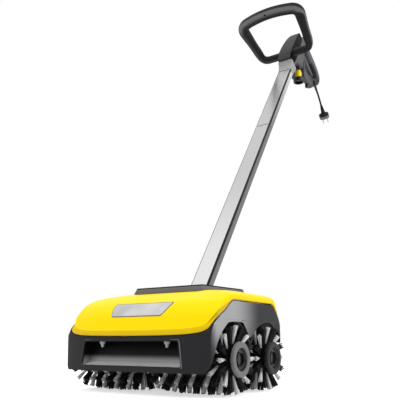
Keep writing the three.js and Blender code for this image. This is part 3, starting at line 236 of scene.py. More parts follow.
# Frames of the machine, the handle, its loop and the upright valve
HEAD_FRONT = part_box("lower_housing")[0].y
FRONT_Y = HEAD_FRONT + CROWN * MM
MACHINE = Matrix.Translation((0, FRONT_Y, 0)) @ Matrix.Scale(MM, 4)
PIVOT = sum(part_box("pivot_pin"), Vector()) / 2
HANDLE = (Matrix.Translation(PIVOT) @ Matrix.Rotation(-math.radians(LEAN), 4, "X")
          @ Matrix.Scale(MM, 4))
LOOP_PLACE = (0, -31.7, 1128.3)
LOOP_TILT = 5.9
LOOP_BAR = Matrix.Translation(LOOP_PLACE) @ Matrix.Rotation(math.radians(LOOP_TILT), 4, "X")
LOOP = HANDLE @ LOOP_BAR @ Matrix.Rotation(math.pi, 4, "Z")
VALVE = MACHINE @ Matrix.Translation((0, VALVE_Y, 0))


def shell_point(share):
    """A place on the handle's grip, from shares of its reach and length."""
    return share[0] * GRIP_REACH, SPINE_BASE + share[1] * SPINE_LENGTH


RELIEF = (HANDLE @ Matrix.Translation((0, *shell_point(RELIEF_SHARES)))
          @ Matrix.Rotation(math.radians(RELIEF_PITCH) - math.pi / 2, 4, "X"))
CORD_START = RELIEF @ Vector((0, 0, RELIEF_LENGTH + GAP))
CORD_POINTS = [CORD_START + Vector(step) * MM for step in CORD_ROUTE]
PLUG = (Matrix.Translation(CORD_POINTS[-1])
        @ Matrix.Rotation(math.radians(PLUG_PITCH) - math.pi / 2, 4, "X")
        @ Matrix.Scale(MM, 4) @ Matrix.Translation((0, 0, GAP)))


# Outlines

def scaled(shares, width, height):
    return [(u * width, v * height) for u, v in shares]


def mirrored(points):
    return [*points, *[(-u, v) for u, v in reversed(points)]]


def rectangle(low_u, low_v, high_u, high_v):
    return [(low_u, low_v), (high_u, low_v), (high_u, high_v), (low_u, high_v)]


def on_side(side, near, far):
    """Two distances from the middle, as places on the side that is -1 or 1, the lower first."""
    return sorted((side * near, side * far))


def in_mm(length):
    """A length of the settings, in millimetres."""
    return round(length / MM, 3)


def circle(u, v, radius, sides=32):
    turns = [2 * math.pi * i / sides for i in range(sides)]
    return [(u + radius * math.cos(turn), v + radius * math.sin(turn)) for turn in turns]


def rounded(points, radius, steps=6):
    """Cuts each corner of a closed outline by a curve that starts about one radius from it."""
    found = []
    for i, corner in enumerate(points):
        before, here, after = Vector(points[i - 1]), Vector(corner), Vector(points[(i + 1) % len(points)])
        reach = min(radius, (before - here).length * 0.48, (after - here).length * 0.48)
        start = here + (before - here).normalized() * reach
        end = here + (after - here).normalized() * reach
        for k in range(steps + 1):
            t = k / steps
            found.append(tuple(start * (1 - t) ** 2 + here * 2 * t * (1 - t) + end * t ** 2))
    return found


def through(points, steps=6):
    """A smooth open curve through the points."""
    ends = [Vector(points[0]) * 2 - Vector(points[1]), Vector(points[-1]) * 2 - Vector(points[-2])]
    line = [ends[0], *[Vector(p) for p in points], ends[1]]
    found = []
    for a, b, c, d in zip(line, line[1:], line[2:], line[3:]):
        for k in range(steps):
            t = k / steps
            found.append(tuple(0.5 * ((2 * b) + (c - a) * t + (2 * a - 5 * b + 4 * c - d) * t ** 2
                                      + (3 * b - a - 3 * c + d) * t ** 3)))
    return [*found, tuple(points[-1])]


# Modelling

def clear_selection():
    if bpy.context.mode != "OBJECT":
        bpy.ops.object.mode_set(mode="OBJECT")
    bpy.ops.object.select_all(action="DESELECT")


def take(piece):
    clear_selection()
    piece.select_set(True)
    bpy.context.view_layer.objects.active = piece
    return piece


def named(name):
    piece = bpy.context.object
    piece.name = piece.data.name = name
    return piece


def mend(piece, merge=True):
    """Merges doubled corners and turns every face outwards."""
    take(piece)
    bpy.ops.object.mode_set(mode="EDIT")
    bpy.ops.mesh.select_all(action="SELECT")
    if merge:
        bpy.ops.mesh.remove_doubles(threshold=0.002)
    bpy.ops.mesh.normals_make_consistent(inside=False)
    bpy.ops.object.mode_set(mode="OBJECT")
    return piece


def placed(axis, u, v, w):
    """A point whose third coordinate runs along the axis."""
    return {"x": (w, u, v), "y": (u, w, v), "z": (u, v, w)}[axis]


def prism(name, outline, axis, start, end, steps=1):
    """A filled outline drawn out along an axis."""
    clear_selection()
    bpy.ops.mesh.primitive_circle_add(vertices=len(outline), fill_type="NGON")
    piece = named(name)
    for corner, (u, v) in zip(piece.data.vertices, outline):
        corner.co = placed(axis, u, v, start)
    bpy.ops.object.mode_set(mode="EDIT")
    bpy.ops.mesh.select_all(action="SELECT")
    step = placed(axis, 0, 0, (end - start) / steps)
    for _ in range(steps):
        bpy.ops.mesh.extrude_region_move(TRANSFORM_OT_translate={"value": step})
    return mend(piece, merge=False)


def turned(name, outline, steps=48, axis="z"):
    """A closed outline of (radius, place along the axis), spun round the axis."""
    clear_selection()
    bpy.ops.mesh.primitive_circle_add(vertices=len(outline), fill_type="NOTHING")
    piece = named(name)
    for corner, (radius, along) in zip(piece.data.vertices, outline):
        corner.co = placed(axis, radius, 0, along)
    bpy.ops.object.mode_set(mode="EDIT")
    bpy.ops.mesh.select_all(action="SELECT")
    bpy.ops.mesh.spin(steps=steps, angle=2 * math.pi, center=(0, 0, 0), axis=placed(axis, 0, 0, 1))
    return mend(piece)


def formed(name, columns, rows, form, marked=(), highlight_share=None):
    """A flat grid whose corners are moved to form(u, v), u and v from 0 to 1.

    The faces of the marked rows get the piece's second finish, and worn(u, v) says how rubbed a place is.
    """
    clear_selection()
    bpy.ops.mesh.primitive_grid_add(x_subdivisions=columns, y_subdivisions=rows, size=2)
    piece = named(name)
    for row in marked:
        for face in piece.data.polygons[row * columns:(row + 1) * columns]:
            face.material_index = 1
    places = np.empty(len(piece.data.vertices) * 3)
    piece.data.vertices.foreach_get("co", places)
    share = (places.reshape(-1, 3) + 1) / 2
    piece.data.vertices.foreach_set("co", np.asarray(form(share[:, 0], share[:, 1]), float).T.ravel())
    if highlight_share:
        # The attribute marks where a painted highlight goes.
        layer = piece.data.attributes.new("loop_painted_highlight", "FLOAT", "POINT")
        layer.data.foreach_set("value", highlight_share(share[:, 0], share[:, 1]))
    return mend(piece)


def modified(piece, kind, **settings):
    take(piece)
    modifier = piece.modifiers.new(kind.title(), kind)
    for key, value in settings.items():
        setattr(modifier, key, value)
    bpy.ops.object.modifier_apply(modifier=modifier.name)
    return piece


def combined(piece, operation, *tools):
    for tool in tools:
        modified(piece, "BOOLEAN", object=tool, operation=operation, solver="EXACT")
        bpy.data.objects.remove(tool)
    return piece


def carved(piece, *tools):
    return combined(piece, "DIFFERENCE", *tools)


def shared(piece, *tools):
    return combined(piece, "INTERSECT", *tools)


def eased(piece, width, segments=3, angle=35):
    """Rounds the edges that turn by more than the angle."""
    return modified(piece, "BEVEL", width=width, segments=segments, limit_method="ANGLE",
                    angle_limit=math.radians(angle), use_clamp_overlap=False, miter_outer="MITER_ARC")


def thickened(piece, wall):
    return modified(piece, "SOLIDIFY", thickness=wall, offset=-1, use_even_offset=True)


def joined(name, *pieces):
    clear_selection()
    for piece in pieces:
        piece.select_set(True)
    bpy.context.view_layer.objects.active = pieces[0]
    bpy.ops.object.join()
    return named(name)


def copied(piece, name, matrix):
    """A copy with its own mesh, moved by the matrix."""
    copy = bpy.data.objects.new(name, piece.data.copy())
    copy.data.transform(matrix)
    bpy.context.scene.collection.objects.link(copy)
    return copy


def moved(piece, matrix):
    piece.data.transform(matrix)
    return piece


def flipped(piece):
    """Turns a piece into its mirror image across the machine's middle."""
    return mend(moved(piece, Matrix.Scale(-1, 4, (1, 0, 0))), merge=False)


def box(name, low, high):
    return prism(name, rectangle(*low[:2], *high[:2]), "z", low[2], high[2])


def give(piece, *looks):
    """Adds finishes to a piece, in the order of its faces' numbers."""
    for look in looks:
        piece.data.materials.append(made(look))
    return piece


def mark_faces(piece, test):
    """Gives the second finish to the faces whose normal and centre pass the test."""
    for face in piece.data.polygons:
        if test(face.normal, face.center):
            face.material_index = 1


def dressed(piece, place, body, slot, look, *nodes, angle=32):
    """Brings a piece to its place, smooths it and gives it its body, slot, finish and nodes.

    A piece whose look is None keeps the finishes that it has.
    """
    take(moved(piece, place))
    bpy.ops.object.shade_smooth_by_angle(angle=math.radians(angle))
    if look:
        piece.data.materials.clear()
        give(piece, look)
    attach(piece, body)
    if nodes:
        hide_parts(*nodes)
    return piece


# Finishes

Y_AXIS = (0, 1, 0)
Z_AXIS = (0, 0, 1)
PLAIN = 0.5
DULL = 0.1
USUAL_TONE = 0.9
TONES = {"hood_yellow": 0.97, "band_painted_shade": 0.97, "knob_yellow": 0.92, "bristle_grey": 0.8,
         "tube_front": 0.97, "tube_side": 0.97, "badge_silver": 0.5}
USUAL_PATCHES = 9.0
PATCHES = {"bristle_grey": 60.0, "badge_silver": 16.0}
DRAWN = ("Drawn Metal", {})


def moulded(scale, depth):
    """A moulded or cast surface with grain of a scale and depth."""
    return "Moulded Surface", {"Grain Scale": scale, "Grain Depth": depth}


def new_group(name, inputs, outputs):
    """A shader node group with its sockets, and its input and output nodes."""
    group = bpy.data.node_groups.new(name, "ShaderNodeTree")
    for socket, kind, default in inputs:
        made_socket = group.interface.new_socket(name=socket, in_out="INPUT", socket_type=kind)
        made_socket.default_value = default
    for socket, kind in outputs:
        group.interface.new_socket(name=socket, in_out="OUTPUT", socket_type=kind)
    return group, group.nodes.new("NodeGroupInput"), group.nodes.new("NodeGroupOutput")


def linked(tree, *pairs):
    for source, target in pairs:
        tree.links.new(source, target)


def place_socket(tree):
    return tree.nodes.new("ShaderNodeTexCoord").outputs["Object"]


def noise(tree, coordinates, detail=2.0):
    node = tree.nodes.new("ShaderNodeTexNoise")
    node.inputs["Detail"].default_value = detail
    tree.links.new(coordinates, node.inputs["Vector"])
    return node


def colour_mix(tree):
    node = tree.nodes.new("ShaderNodeMix")
    node.data_type = "RGBA"
    return node


def end_surface(group, given, out, height, depth, distance, patches):
    """Ends a surface group: a bump from the height, and a roughness that wanders by the patches."""
    bump = group.nodes.new("ShaderNodeBump")
    bump.inputs["Distance"].default_value = distance
    spread = group.nodes.new("ShaderNodeMapRange")
    spread.inputs["From Min"].default_value = 0.35
    spread.inputs["From Max"].default_value = 0.65
    linked(group, (given.outputs[depth], bump.inputs["Strength"]), (height, bump.inputs["Height"]),
           (patches, spread.inputs["Value"]), (given.outputs["Smooth Roughness"], spread.inputs["To Min"]),
           (given.outputs["Dull Roughness"], spread.inputs["To Max"]),
           (spread.outputs["Result"], out.inputs["Roughness"]),
           (bump.outputs["Normal"], out.inputs["Normal"]))


SURFACE_OUTPUTS = [("Roughness", "NodeSocketFloat"), ("Normal", "NodeSocketVector")]


def make_moulded_surface():
    """Fine grain of a moulded or cast surface, with a roughness that wanders a little."""
    group, given, out = new_group("Moulded Surface", [
        ("Grain Scale", "NodeSocketFloat", 2500.0), ("Grain Depth", "NodeSocketFloat", 0.1),
        ("Smooth Roughness", "NodeSocketFloat", 0.35), ("Dull Roughness", "NodeSocketFloat", 0.5),
    ], SURFACE_OUTPUTS)
    coordinates = place_socket(group)
    grain = noise(group, coordinates, 3.0)
    patches = noise(group, coordinates)
    patches.inputs["Scale"].default_value = 22.0
    linked(group, (given.outputs["Grain Scale"], grain.inputs["Scale"]))
    end_surface(group, given, out, grain.outputs["Fac"], "Grain Depth", 0.0004, patches.outputs["Fac"])


def make_drawn_metal():
    """Fine lines of a drawn or brushed metal along the leaning tube."""
    group, given, out = new_group("Drawn Metal", [
        ("Line Scale", "NodeSocketFloat", 900.0), ("Line Depth", "NodeSocketFloat", 0.05),
        ("Smooth Roughness", "NodeSocketFloat", 0.25), ("Dull Roughness", "NodeSocketFloat", 0.38),
    ], SURFACE_OUTPUTS)
    mapping = group.nodes.new("ShaderNodeMapping")
    mapping.vector_type = "TEXTURE"
    mapping.inputs["Rotation"].default_value = (-math.radians(LEAN), 0, 0)
    mapping.inputs["Scale"].default_value = (1, 1, 60)
    lines = noise(group, mapping.outputs["Vector"], 3.0)
    linked(group, (place_socket(group), mapping.inputs["Vector"]),
           (given.outputs["Line Scale"], lines.inputs["Scale"]))
    end_surface(group, given, out, lines.outputs["Fac"], "Line Depth", 0.0003, lines.outputs["Fac"])


def make_soft_tone():
    """A colour that wanders between two tones in soft patches."""
    group, given, out = new_group("Soft Tone", [
        ("Tone", "NodeSocketColor", (0.5, 0.5, 0.5, 1)),
        ("Other Tone", "NodeSocketColor", (0.4, 0.4, 0.4, 1)), ("Patch Scale", "NodeSocketFloat", 9.0),
    ], [("Color", "NodeSocketColor")])
    patches = noise(group, place_socket(group), 4.0)
    mix = colour_mix(group)
    linked(group, (given.outputs["Patch Scale"], patches.inputs["Scale"]),
           (patches.outputs["Fac"], mix.inputs["Factor"]), (given.outputs["Tone"], mix.inputs["A"]),
           (given.outputs["Other Tone"], mix.inputs["B"]), (mix.outputs["Result"], out.inputs["Color"]))


def make_fade_along():
    """A colour that turns to another between two places along an axis."""
    group, given, out = new_group("Fade Along", [
        ("Axis", "NodeSocketVector", Z_AXIS), ("Start", "NodeSocketFloat", 0.0),
        ("End", "NodeSocketFloat", 1.0), ("Near Color", "NodeSocketColor", (0.5, 0.5, 0.5, 1)),
        ("Far Color", "NodeSocketColor", (0.4, 0.4, 0.4, 1)),
    ], [("Color", "NodeSocketColor")])
    place = group.nodes.new("ShaderNodeVectorMath")
    place.operation = "DOT_PRODUCT"
    share = group.nodes.new("ShaderNodeMapRange")
    share.interpolation_type = "SMOOTHSTEP"
    mix = colour_mix(group)
    linked(group, (place_socket(group), place.inputs[0]), (given.outputs["Axis"], place.inputs[1]),
           (place.outputs["Value"], share.inputs["Value"]),
           (given.outputs["Start"], share.inputs["From Min"]),
           (given.outputs["End"], share.inputs["From Max"]),
           (share.outputs["Result"], mix.inputs["Factor"]),
           (given.outputs["Near Color"], mix.inputs["A"]), (given.outputs["Far Color"], mix.inputs["B"]),
           (mix.outputs["Result"], out.inputs["Color"]))


def group_node(tree, name, values):
    node = tree.nodes.new("ShaderNodeGroup")
    node.node_tree = bpy.data.node_groups[name]
    for key, value in values.items():
        node.inputs[key].default_value = value
    return node


def made(name):
    return bpy.data.materials[name]


def base_colour(tree):
    return tree.nodes["Principled BSDF"].inputs["Base Color"]


def finish(name, colour, roughness, spread, surface, sockets):
    """A Principled material with soft tone patches, and the bump and roughness of a surface group."""
    material = bpy.data.materials.new(name)
    material.use_nodes = True
    tree = material.node_tree
    shader = tree.nodes["Principled BSDF"]
    for socket, value in sockets.items():
        shader.inputs[socket].default_value = value
    other = [channel * TONES.get(name, USUAL_TONE) for channel in colour]
    tone = group_node(tree, "Soft Tone", {"Tone": (*colour, 1), "Other Tone": (*other, 1),
                                          "Patch Scale": PATCHES.get(name, USUAL_PATCHES)})
    group, values = surface
    grain = group_node(tree, group, {"Smooth Roughness": roughness - spread / 2,
                                     "Dull Roughness": roughness + spread / 2, **values})
    linked(tree, (tone.outputs["Color"], base_colour(tree)),
           (grain.outputs["Roughness"], shader.inputs["Roughness"]),
           (grain.outputs["Normal"], shader.inputs["Normal"]))


def fade(name, colour, axis, start, end):
    """Lets a finish turn to another colour between two places on an axis."""
    tree = made(name).node_tree
    before = base_colour(tree).links[0].from_socket
    node = group_node(tree, "Fade Along", {"Axis": axis, "Start": start, "End": end,
                                           "Far Color": (*colour, 1)})
    linked(tree, (before, node.inputs["Near Color"]), (node.outputs["Color"], base_colour(tree)))


def paint_highlight(name, colour):
    """Lets a finish turn to another colour where the piece's attribute says that it is rubbed."""
    tree = made(name).node_tree
    before = base_colour(tree).links[0].from_socket
    mark = tree.nodes.new("ShaderNodeAttribute")
    mark.attribute_name = "loop_painted_highlight"
    mix = colour_mix(tree)
    mix.inputs["B"].default_value = (*colour, 1)
    linked(tree, (mark.outputs["Fac"], mix.inputs["Factor"]), (before, mix.inputs["A"]),
           (mix.outputs["Result"], base_colour(tree)))


def grey(value):
    return (value, value, value * 1.02)


def plastics(colours):
    """Name, colour, roughness and its spread, scale and depth of the grain, and specular level."""
    return [
        ("hood_yellow", colours.hood, 0.34, 0.06, 1400, 0.04, 0.05),
        # The lower band's deeper yellow is painted shade of its lip, which faces down.
        ("band_painted_shade", colours.band, 0.36, 0.06, 1400, 0.04, DULL),
        ("knob_yellow", colours.hood, 0.35, 0.08, 1400, 0.1, PLAIN),
        ("housing_black", colours.housing, 0.42, 0.1, 1800, 0.2, DULL),
        # Painted highlight for the recess frame's upper and right edges.
        ("frame_painted_highlight", grey(0.17), 0.35, 0.08, 1800, 0.1, PLAIN),
        # Side panels: black plastic with a painted sheen of the right lamp, grey at their upper front.
        ("side_panel_painted_sheen", colours.painted_sheen_grey, 0.42, 0.08, 1700, 0.12, DULL),
        ("recess_grey", colours.recess, 0.5, 0.08, 1700, 0.12, DULL),
        ("deck_grey", grey(0.13), 0.45, 0.08, 1500, 0.2, DULL),
        ("deck_black", grey(0.012), 0.5, 0.1, 1300, 0.3, DULL),
        ("grip_grey", colours.grip, 0.45, 0.1, 1500, 0.2, DULL),
        ("cover_grey", grey(0.04), 0.55, 0.12, 900, 0.45, DULL),
        ("cover_black", grey(0.006), 0.6, 0.1, 900, 0.3, 0.03),
        ("collar_grey", grey(0.3), 0.4, 0.08, 1500, 0.12, PLAIN),
        ("light_grey_plastic", grey(0.4), 0.4, 0.08, 1500, 0.12, PLAIN),
        ("gloss_black", grey(0.006), 0.28, 0.08, 1200, 0.06, 0.3),
        ("loop_black", grey(0.012), 0.4, 0.08, 1200, 0.06, DULL),
        ("soft_black", grey(0.01), 0.6, 0.12, 1100, 0.35, DULL),
        ("lead_black", grey(0.01), 0.45, 0.08, 1600, 0.1, DULL),
        ("hub_grey", grey(0.17), 0.42, 0.1, 1500, 0.2, DULL),
        # A darker copy of the hubs' grey, painted shade on the rear hubs.
        ("rear_hub_painted_shade", grey(0.022), 0.42, 0.1, 1500, 0.2, DULL),
        ("bristle_black", colours.dark_tuft, 0.5, 0.12, 700, 0.3, DULL),
        ("bristle_grey", colours.light_tuft, 0.5, 0.12, 700, 0.4, PLAIN),
        ("sleeve_black", grey(0.006), 0.6, 0.1, 900, 0.3, DULL),
        ("edge_strip_black", grey(0.008), 0.5, 0.1, 900, 0.2, DULL),
        ("painted_steel", PAINTS["painted_steel"], 0.45, 0.1, 700, 0.2, DULL),
    ]


def metals(colours):
    """Name, colour, roughness and its spread, and surface."""
    return [
        ("tube_front", colours.tube, 0.34, 0.08, DRAWN),
        # The sides' darker grey is painted reflection.
        ("tube_side", colours.tube_side, 0.42, 0.08, DRAWN),
        ("badge_silver", (0.8, 0.8, 0.8), 0.24, 0.04, moulded(2500, 0.02)),
        ("steel", PAINTS["steel"], 0.32, 0.12, DRAWN),
        ("dark_steel", grey(0.03), 0.4, 0.12, DRAWN),
        ("cast_metal", PAINTS["cast_metal"], 0.55, 0.14, moulded(900, 0.5)),
        ("winding_copper", PAINTS["copper"], 0.35, 0.1, moulded(500, 0.6)),
    ]


def make_finishes(colours):
    for build in (make_moulded_surface, make_drawn_metal, make_soft_tone, make_fade_along):
        build()
    for name, colour, roughness, spread, scale, depth, level in plastics(colours):
        finish(name, colour, roughness, spread, moulded(scale, depth), {"Specular IOR Level": level})
    for name, colour, roughness, spread, surface in metals(colours):
        finish(name, colour, roughness, spread, surface, {"Metallic": 1.0})
    # Painted sheen on the side panels: grey near the front, fading to dark grey towards the rear and to the
    # housing's black at the front corner; painted shade turns them dark grey below the crease.
    fade("side_panel_painted_sheen", colours.panel, Y_AXIS, FRONT_Y + 0.09, FRONT_Y + 0.2)
    fade("side_panel_painted_sheen", colours.housing, Y_AXIS, FRONT_Y + 0.03, FRONT_Y + 0.006)
    fade("side_panel_painted_sheen", colours.panel, Z_AXIS, 0.128, 0.07)
    # Painted shade: the recess's ramp turns near black upwards, under the recess's roof.
    fade("recess_grey", grey(0.003), Z_AXIS, 0.057, 0.076)
    # Painted reflection: the tube's front turns brighter towards its foot, and its darker sides lighten
    # towards the top.
    fade("tube_front", colours.tube_foot, Z_AXIS, 0.6, 0.25)
    fade("tube_side", colours.tube, Z_AXIS, 0.7, 1.05)
    # Painted highlight: a lighter grey band along the glossy black loop, where lamps would glint.
    paint_highlight("loop_black", grey(0.15))


# Head surface, as rows of points whose columns run round the head
COLUMNS = 320
BAND_ROWS = [(0.0, 2.6), (0.06, 1.7), (0.16, 1.25), (0.5, 1.1), (0.84, 0.9), (0.95, 1.5)]
ROOF_ROWS = 40
UNDER_ROWS = 12
SHELF_ROWS = 3
GROOVE_ROWS = [(5.0, 3.6), (-2.2, 3.6), (-2.3, 1.5), (-2.8, 0.5), (-3.8, 0.05)]
WALL_ROWS = 26
INNER_ROWS = 6
HOOD_WALL = 2.8
HOOD_INSET = 1.2
HOUSING_WALL = 3
EDGE_REACH = 13
ROOF_EDGE_REACH = 10
CORNER_REACH = 9
RAY_HEIGHT = 60
LONGEST_RAY = 260.0
HALVINGS = 26
SEAM_EASING = 8


def seam_height(x, y):
    """Height of the line between the hood and the lower housing."""
    share = np.abs(x) / HEAD_HALF_WIDTH
    front = SEAM_FRONT + (SEAM_CORNER - SEAM_FRONT) * np.minimum(share, 1) ** SEAM_POWER
    places = np.array([(0, SEAM_CORNER), *scaled(SIDE_SEAM_SHARES, HEAD_DEPTH, HEAD_TOP)])
    side = np.interp(y, places[:, 0], places[:, 1])
    return np.where(y < SETBACK, front, side)


def bottom_height(y):
    slope = (HEAD_REAR_BOTTOM - HEAD_BOTTOM) / (HEAD_DEPTH - LIP_DEPTH)
    return HEAD_BOTTOM + np.clip(y - LIP_DEPTH, 0, None) * slope


def outside(points, u, v):
    """How far points lie outside a convex outline that is given clockwise."""
    worst = np.full(np.shape(u), -1e9)
    for (u0, v0), (u1, v1) in zip(points, points[1:]):
        length = math.hypot(u1 - u0, v1 - v0)
        worst = np.maximum(worst, ((u - u0) * (v0 - v1) + (v - v0) * (u1 - u0)) / length)
    return worst


def smooth_step(value, start, end):
    t = np.clip((value - start) / (end - start), 0, 1)
    return t * t * (3 - 2 * t)


def smooth_max(a, b, reach):
    near = np.clip(reach - np.abs(a - b), 0, None)
    return np.maximum(a, b) + near ** 2 / reach / 4


LOW_FRONT = [(0, 0), (0, 118)]
RISE = through([(4, 121), *scaled(PROFILE_SHARES, HEAD_DEPTH, HEAD_TOP)[:5]], 5)
REAR = through(scaled(PROFILE_SHARES, HEAD_DEPTH, HEAD_TOP)[5:], 5)
HOOD_PROFILE = [(-2.64, 109), *RISE, *REAR, (HEAD_DEPTH, 0)]
WALL_PROFILE = [*LOW_FRONT, *RISE[1:], *REAR, (HEAD_DEPTH, 0)]
SECTION = [(0, 213), *reversed(through(scaled(SHOULDER_SHARES, HEAD_HALF_WIDTH, HEAD_TOP), 4)),
           (HEAD_HALF_WIDTH, SEAM_FRONT), (HEAD_HALF_WIDTH - SIDE_DRAFT, 0)]
PLAN = [(HEAD_HALF_WIDTH - REAR_CORNER, HEAD_DEPTH), (HEAD_HALF_WIDTH, HEAD_DEPTH - REAR_CORNER),
        (HEAD_HALF_WIDTH, -20)]


def front_bow(x):
    """How far the front stands back from that of a flat head."""
    return (CROWN + SETBACK) * np.minimum(np.abs(x) / HEAD_HALF_WIDTH, 1.1) ** BOW_POWER - CROWN


def head_field(x, y, z, profile):
    """Below zero inside the head, with its front bowed and its edges rounded."""
    bow = front_bow(x)
    flat_y = (y - bow) / (1 - bow / HEAD_DEPTH)
    reach = EDGE_REACH + (ROOF_EDGE_REACH - EDGE_REACH) * smooth_step(z, 122, 165)
    return smooth_max(smooth_max(outside(profile, flat_y, z), outside(SECTION, np.abs(x), z), reach),
                      outside(PLAN, np.abs(x), y), CORNER_REACH)


def hood_field(x, y, z):
    """Below zero inside the hood, whose sides stand a little inside its lower band."""
    return head_field(x, y, z, HOOD_PROFILE) + HOOD_INSET * (1 - smooth_step(z, 160, 195))


def under_field(x, y, z):
    """Below zero under the hood's wall."""
    return hood_field(x, y, z) + HOOD_WALL


def crowded(t):
    """Spreads shares so that they lie closer at both ends."""
    return t - 0.7 * np.sin(2 * math.pi * t) / (2 * math.pi)


def column_rays(share):
    """For shares round the head, the inner place of each column and its way outwards."""
    side = np.minimum((share % 1) * 4, 3.999999)
    t = crowded(side % 1)
    corners = np.array([(-1, 0), (1, 0), (1, 1), (-1, 1), (-1, 0)], float)
    index = side.astype(int)
    at = corners[index] * (1 - t)[:, None] + corners[index + 1] * t[:, None]
    inner = np.stack([at[:, 0] * SHELF_HALF_WIDTH, SHELF_FRONT + at[:, 1] * (SHELF_REAR - SHELF_FRONT)], 1)
    outer = np.stack([at[:, 0] * HEAD_HALF_WIDTH, at[:, 1] * HEAD_DEPTH], 1)
    way = outer - inner
    return inner, way / np.linalg.norm(way, axis=1)[:, None]


def cast(start, way, field):
    """Distance along each ray at which the field turns positive."""
    near, far = np.zeros(len(start)), np.full(len(start), LONGEST_RAY)
    for _ in range(HALVINGS):
        middle = (near + far) / 2
        at = start + way * middle[:, None]
        inside = field(at[:, 0], at[:, 1], at[:, 2]) < 0
        near, far = np.where(inside, middle, near), np.where(inside, far, middle)
    return near


def level_points(inner, way, height, profile, out=0.0):
    """Surface points at a height, moved outwards along their column."""
    start = np.stack([inner[:, 0], inner[:, 1], height], 1)
    flat = np.stack([way[:, 0], way[:, 1], np.zeros(len(way))], 1)
    reach = cast(start, flat, lambda x, y, z: head_field(x, y, z, profile))
    return start + flat * (reach + out)[:, None]


def seam_line(inner, way):
    """Height of the seam at each column, eased round the two front corners."""
    height = np.full(len(inner), float(SEAM_CORNER))
    for _ in range(8):
        found = level_points(inner, way, height, WALL_PROFILE)
        height = seam_height(found[:, 0], found[:, 1])
    ring = height[:-1]
    for _ in range(2):
        ring = sum(np.roll(ring, k) for k in range(-SEAM_EASING, SEAM_EASING + 1)) / (2 * SEAM_EASING + 1)
    near_front = 1 - smooth_step(found[:, 1], 36, 70)
    return height + (np.append(ring, ring[0]) - height) * near_front


def roof_points(inner, way, low, field, share):
    """Points of the roof over each column, from the low angle up to straight above."""
    angle = low + (math.pi / 2 - low) * share
    start = np.stack([inner[:, 0], inner[:, 1], np.full(len(inner), RAY_HEIGHT)], 1)
    ray = np.stack([way[:, 0] * np.cos(angle), way[:, 1] * np.cos(angle), np.sin(angle)], 1)
    return start + ray * cast(start, ray, field)[:, None]


def low_angle(inner, edge):
    """The angle at which each column's ray meets the band's upper edge."""
    across = np.hypot(edge[:, 0] - inner[:, 0], edge[:, 1] - inner[:, 1])
    return np.arctan2(edge[:, 2] - RAY_HEIGHT, across)


def picked(rows):
    """A form that reads its places from a list of rows."""
    places = np.array(rows)

    def form(u, v):
        row = np.rint(v * (len(places) - 1)).astype(int)
        return places[row, np.rint(u * (places.shape[1] - 1)).astype(int)].T

    return form


def hood_rows(band_height):
    """Rows of the hood: its underside, its lower band, its rise over the shoulder, and the flat shelf."""
    inner, way = column_rays(np.arange(COLUMNS + 1) / COLUMNS)
    seam = seam_line(inner, way)
    share = 1 - 0.8 * smooth_step(seam, 150, 176)
    low = low_angle(inner, level_points(inner, way, seam + band_height * share, HOOD_PROFILE))
    centre = np.array([0, (SHELF_FRONT + SHELF_REAR) / 2, HEAD_TOP])
    rows = [np.tile(centre - (0, 0, HOOD_WALL), (COLUMNS + 1, 1))]
    rows += [roof_points(inner, way, low, under_field, 1 - i / (UNDER_ROWS - 1))
             for i in range(UNDER_ROWS)]
    rows.append(level_points(inner, way, seam, WALL_PROFILE, -HOOD_WALL - 1.4))
    rows += [level_points(inner, way, seam + rise * band_height * share, WALL_PROFILE, -tuck * share)
             for rise, tuck in BAND_ROWS]
    rows += [roof_points(inner, way, low, hood_field, i / (ROOF_ROWS - 1)) for i in range(ROOF_ROWS)]
    top = rows[-1]
    rows += [top + (centre - top) * (i + 1) / SHELF_ROWS for i in range(SHELF_ROWS)]
    return rows


def wall_rows():
    """Rows of the lower housing: a groove under the hood, a rounded edge, the wall, and its inside."""
    inner, way = column_rays(np.arange(COLUMNS + 1) / COLUMNS)
    seam = seam_line(inner, way)
    rows = [level_points(inner, way, seam + above, WALL_PROFILE, -tuck) for above, tuck in GROOVE_ROWS]
    top = seam + GROOVE_ROWS[-1][0]
    low = bottom_height(rows[-1][:, 1])
    for share in np.arange(1, WALL_ROWS + 1) / WALL_ROWS:
        rows.append(level_points(inner, way, top * (1 - share) + low * share, WALL_PROFILE))
    for share in np.linspace(0, 1, INNER_ROWS):
        rows.append(level_points(inner, way, low * (1 - share) + (top - 3) * share, WALL_PROFILE,
                                 -HOUSING_WALL - 1.5 * share))
    return [*rows, level_points(inner, way, seam + 5, WALL_PROFILE, -HOUSING_WALL - 3), rows[0]]


def slope_point(x, z, out=0.0):
    """Place on the hood's front slope at a given x and height, moved outwards."""
    start = np.stack([x, np.full(len(x), 120.0), z], 1)
    ahead = np.tile([0.0, -1.0, 0.0], (len(x), 1))
    found = start + ahead * cast(start, ahead, hood_field)[:, None]
    lean = np.array([0, -0.84, 0.54])
    return found + lean * np.reshape(out, (-1, 1))


# Pieces of the head

def slot_cutter():
    """The room for the leaning tube in the hood and the deck."""
    return box("slot_cutter", (-SLOT_HALF, SLOT_FRONT, SLOT_FLOOR),
               (SLOT_HALF, HEAD_DEPTH + 10, DECK_TOP + 14))


def make_hood(sizes):
    rows = hood_rows(in_mm(sizes.band_height))
    # The band's rows get the deeper yellow, painted shade of its downward-facing lip.
    band = range(UNDER_ROWS + 1, UNDER_ROWS + 1 + len(BAND_ROWS))
    hood = formed("hood_shell", COLUMNS, len(rows) - 1, picked(rows), band)
    carved(give(hood, "hood_yellow", "band_painted_shade"), slot_cutter())
    dressed(hood, MACHINE, "machine", "yellow_plastic", None, "hood", angle=24)


def make_housing():
    make_walls()
    make_recess()
    make_rim()


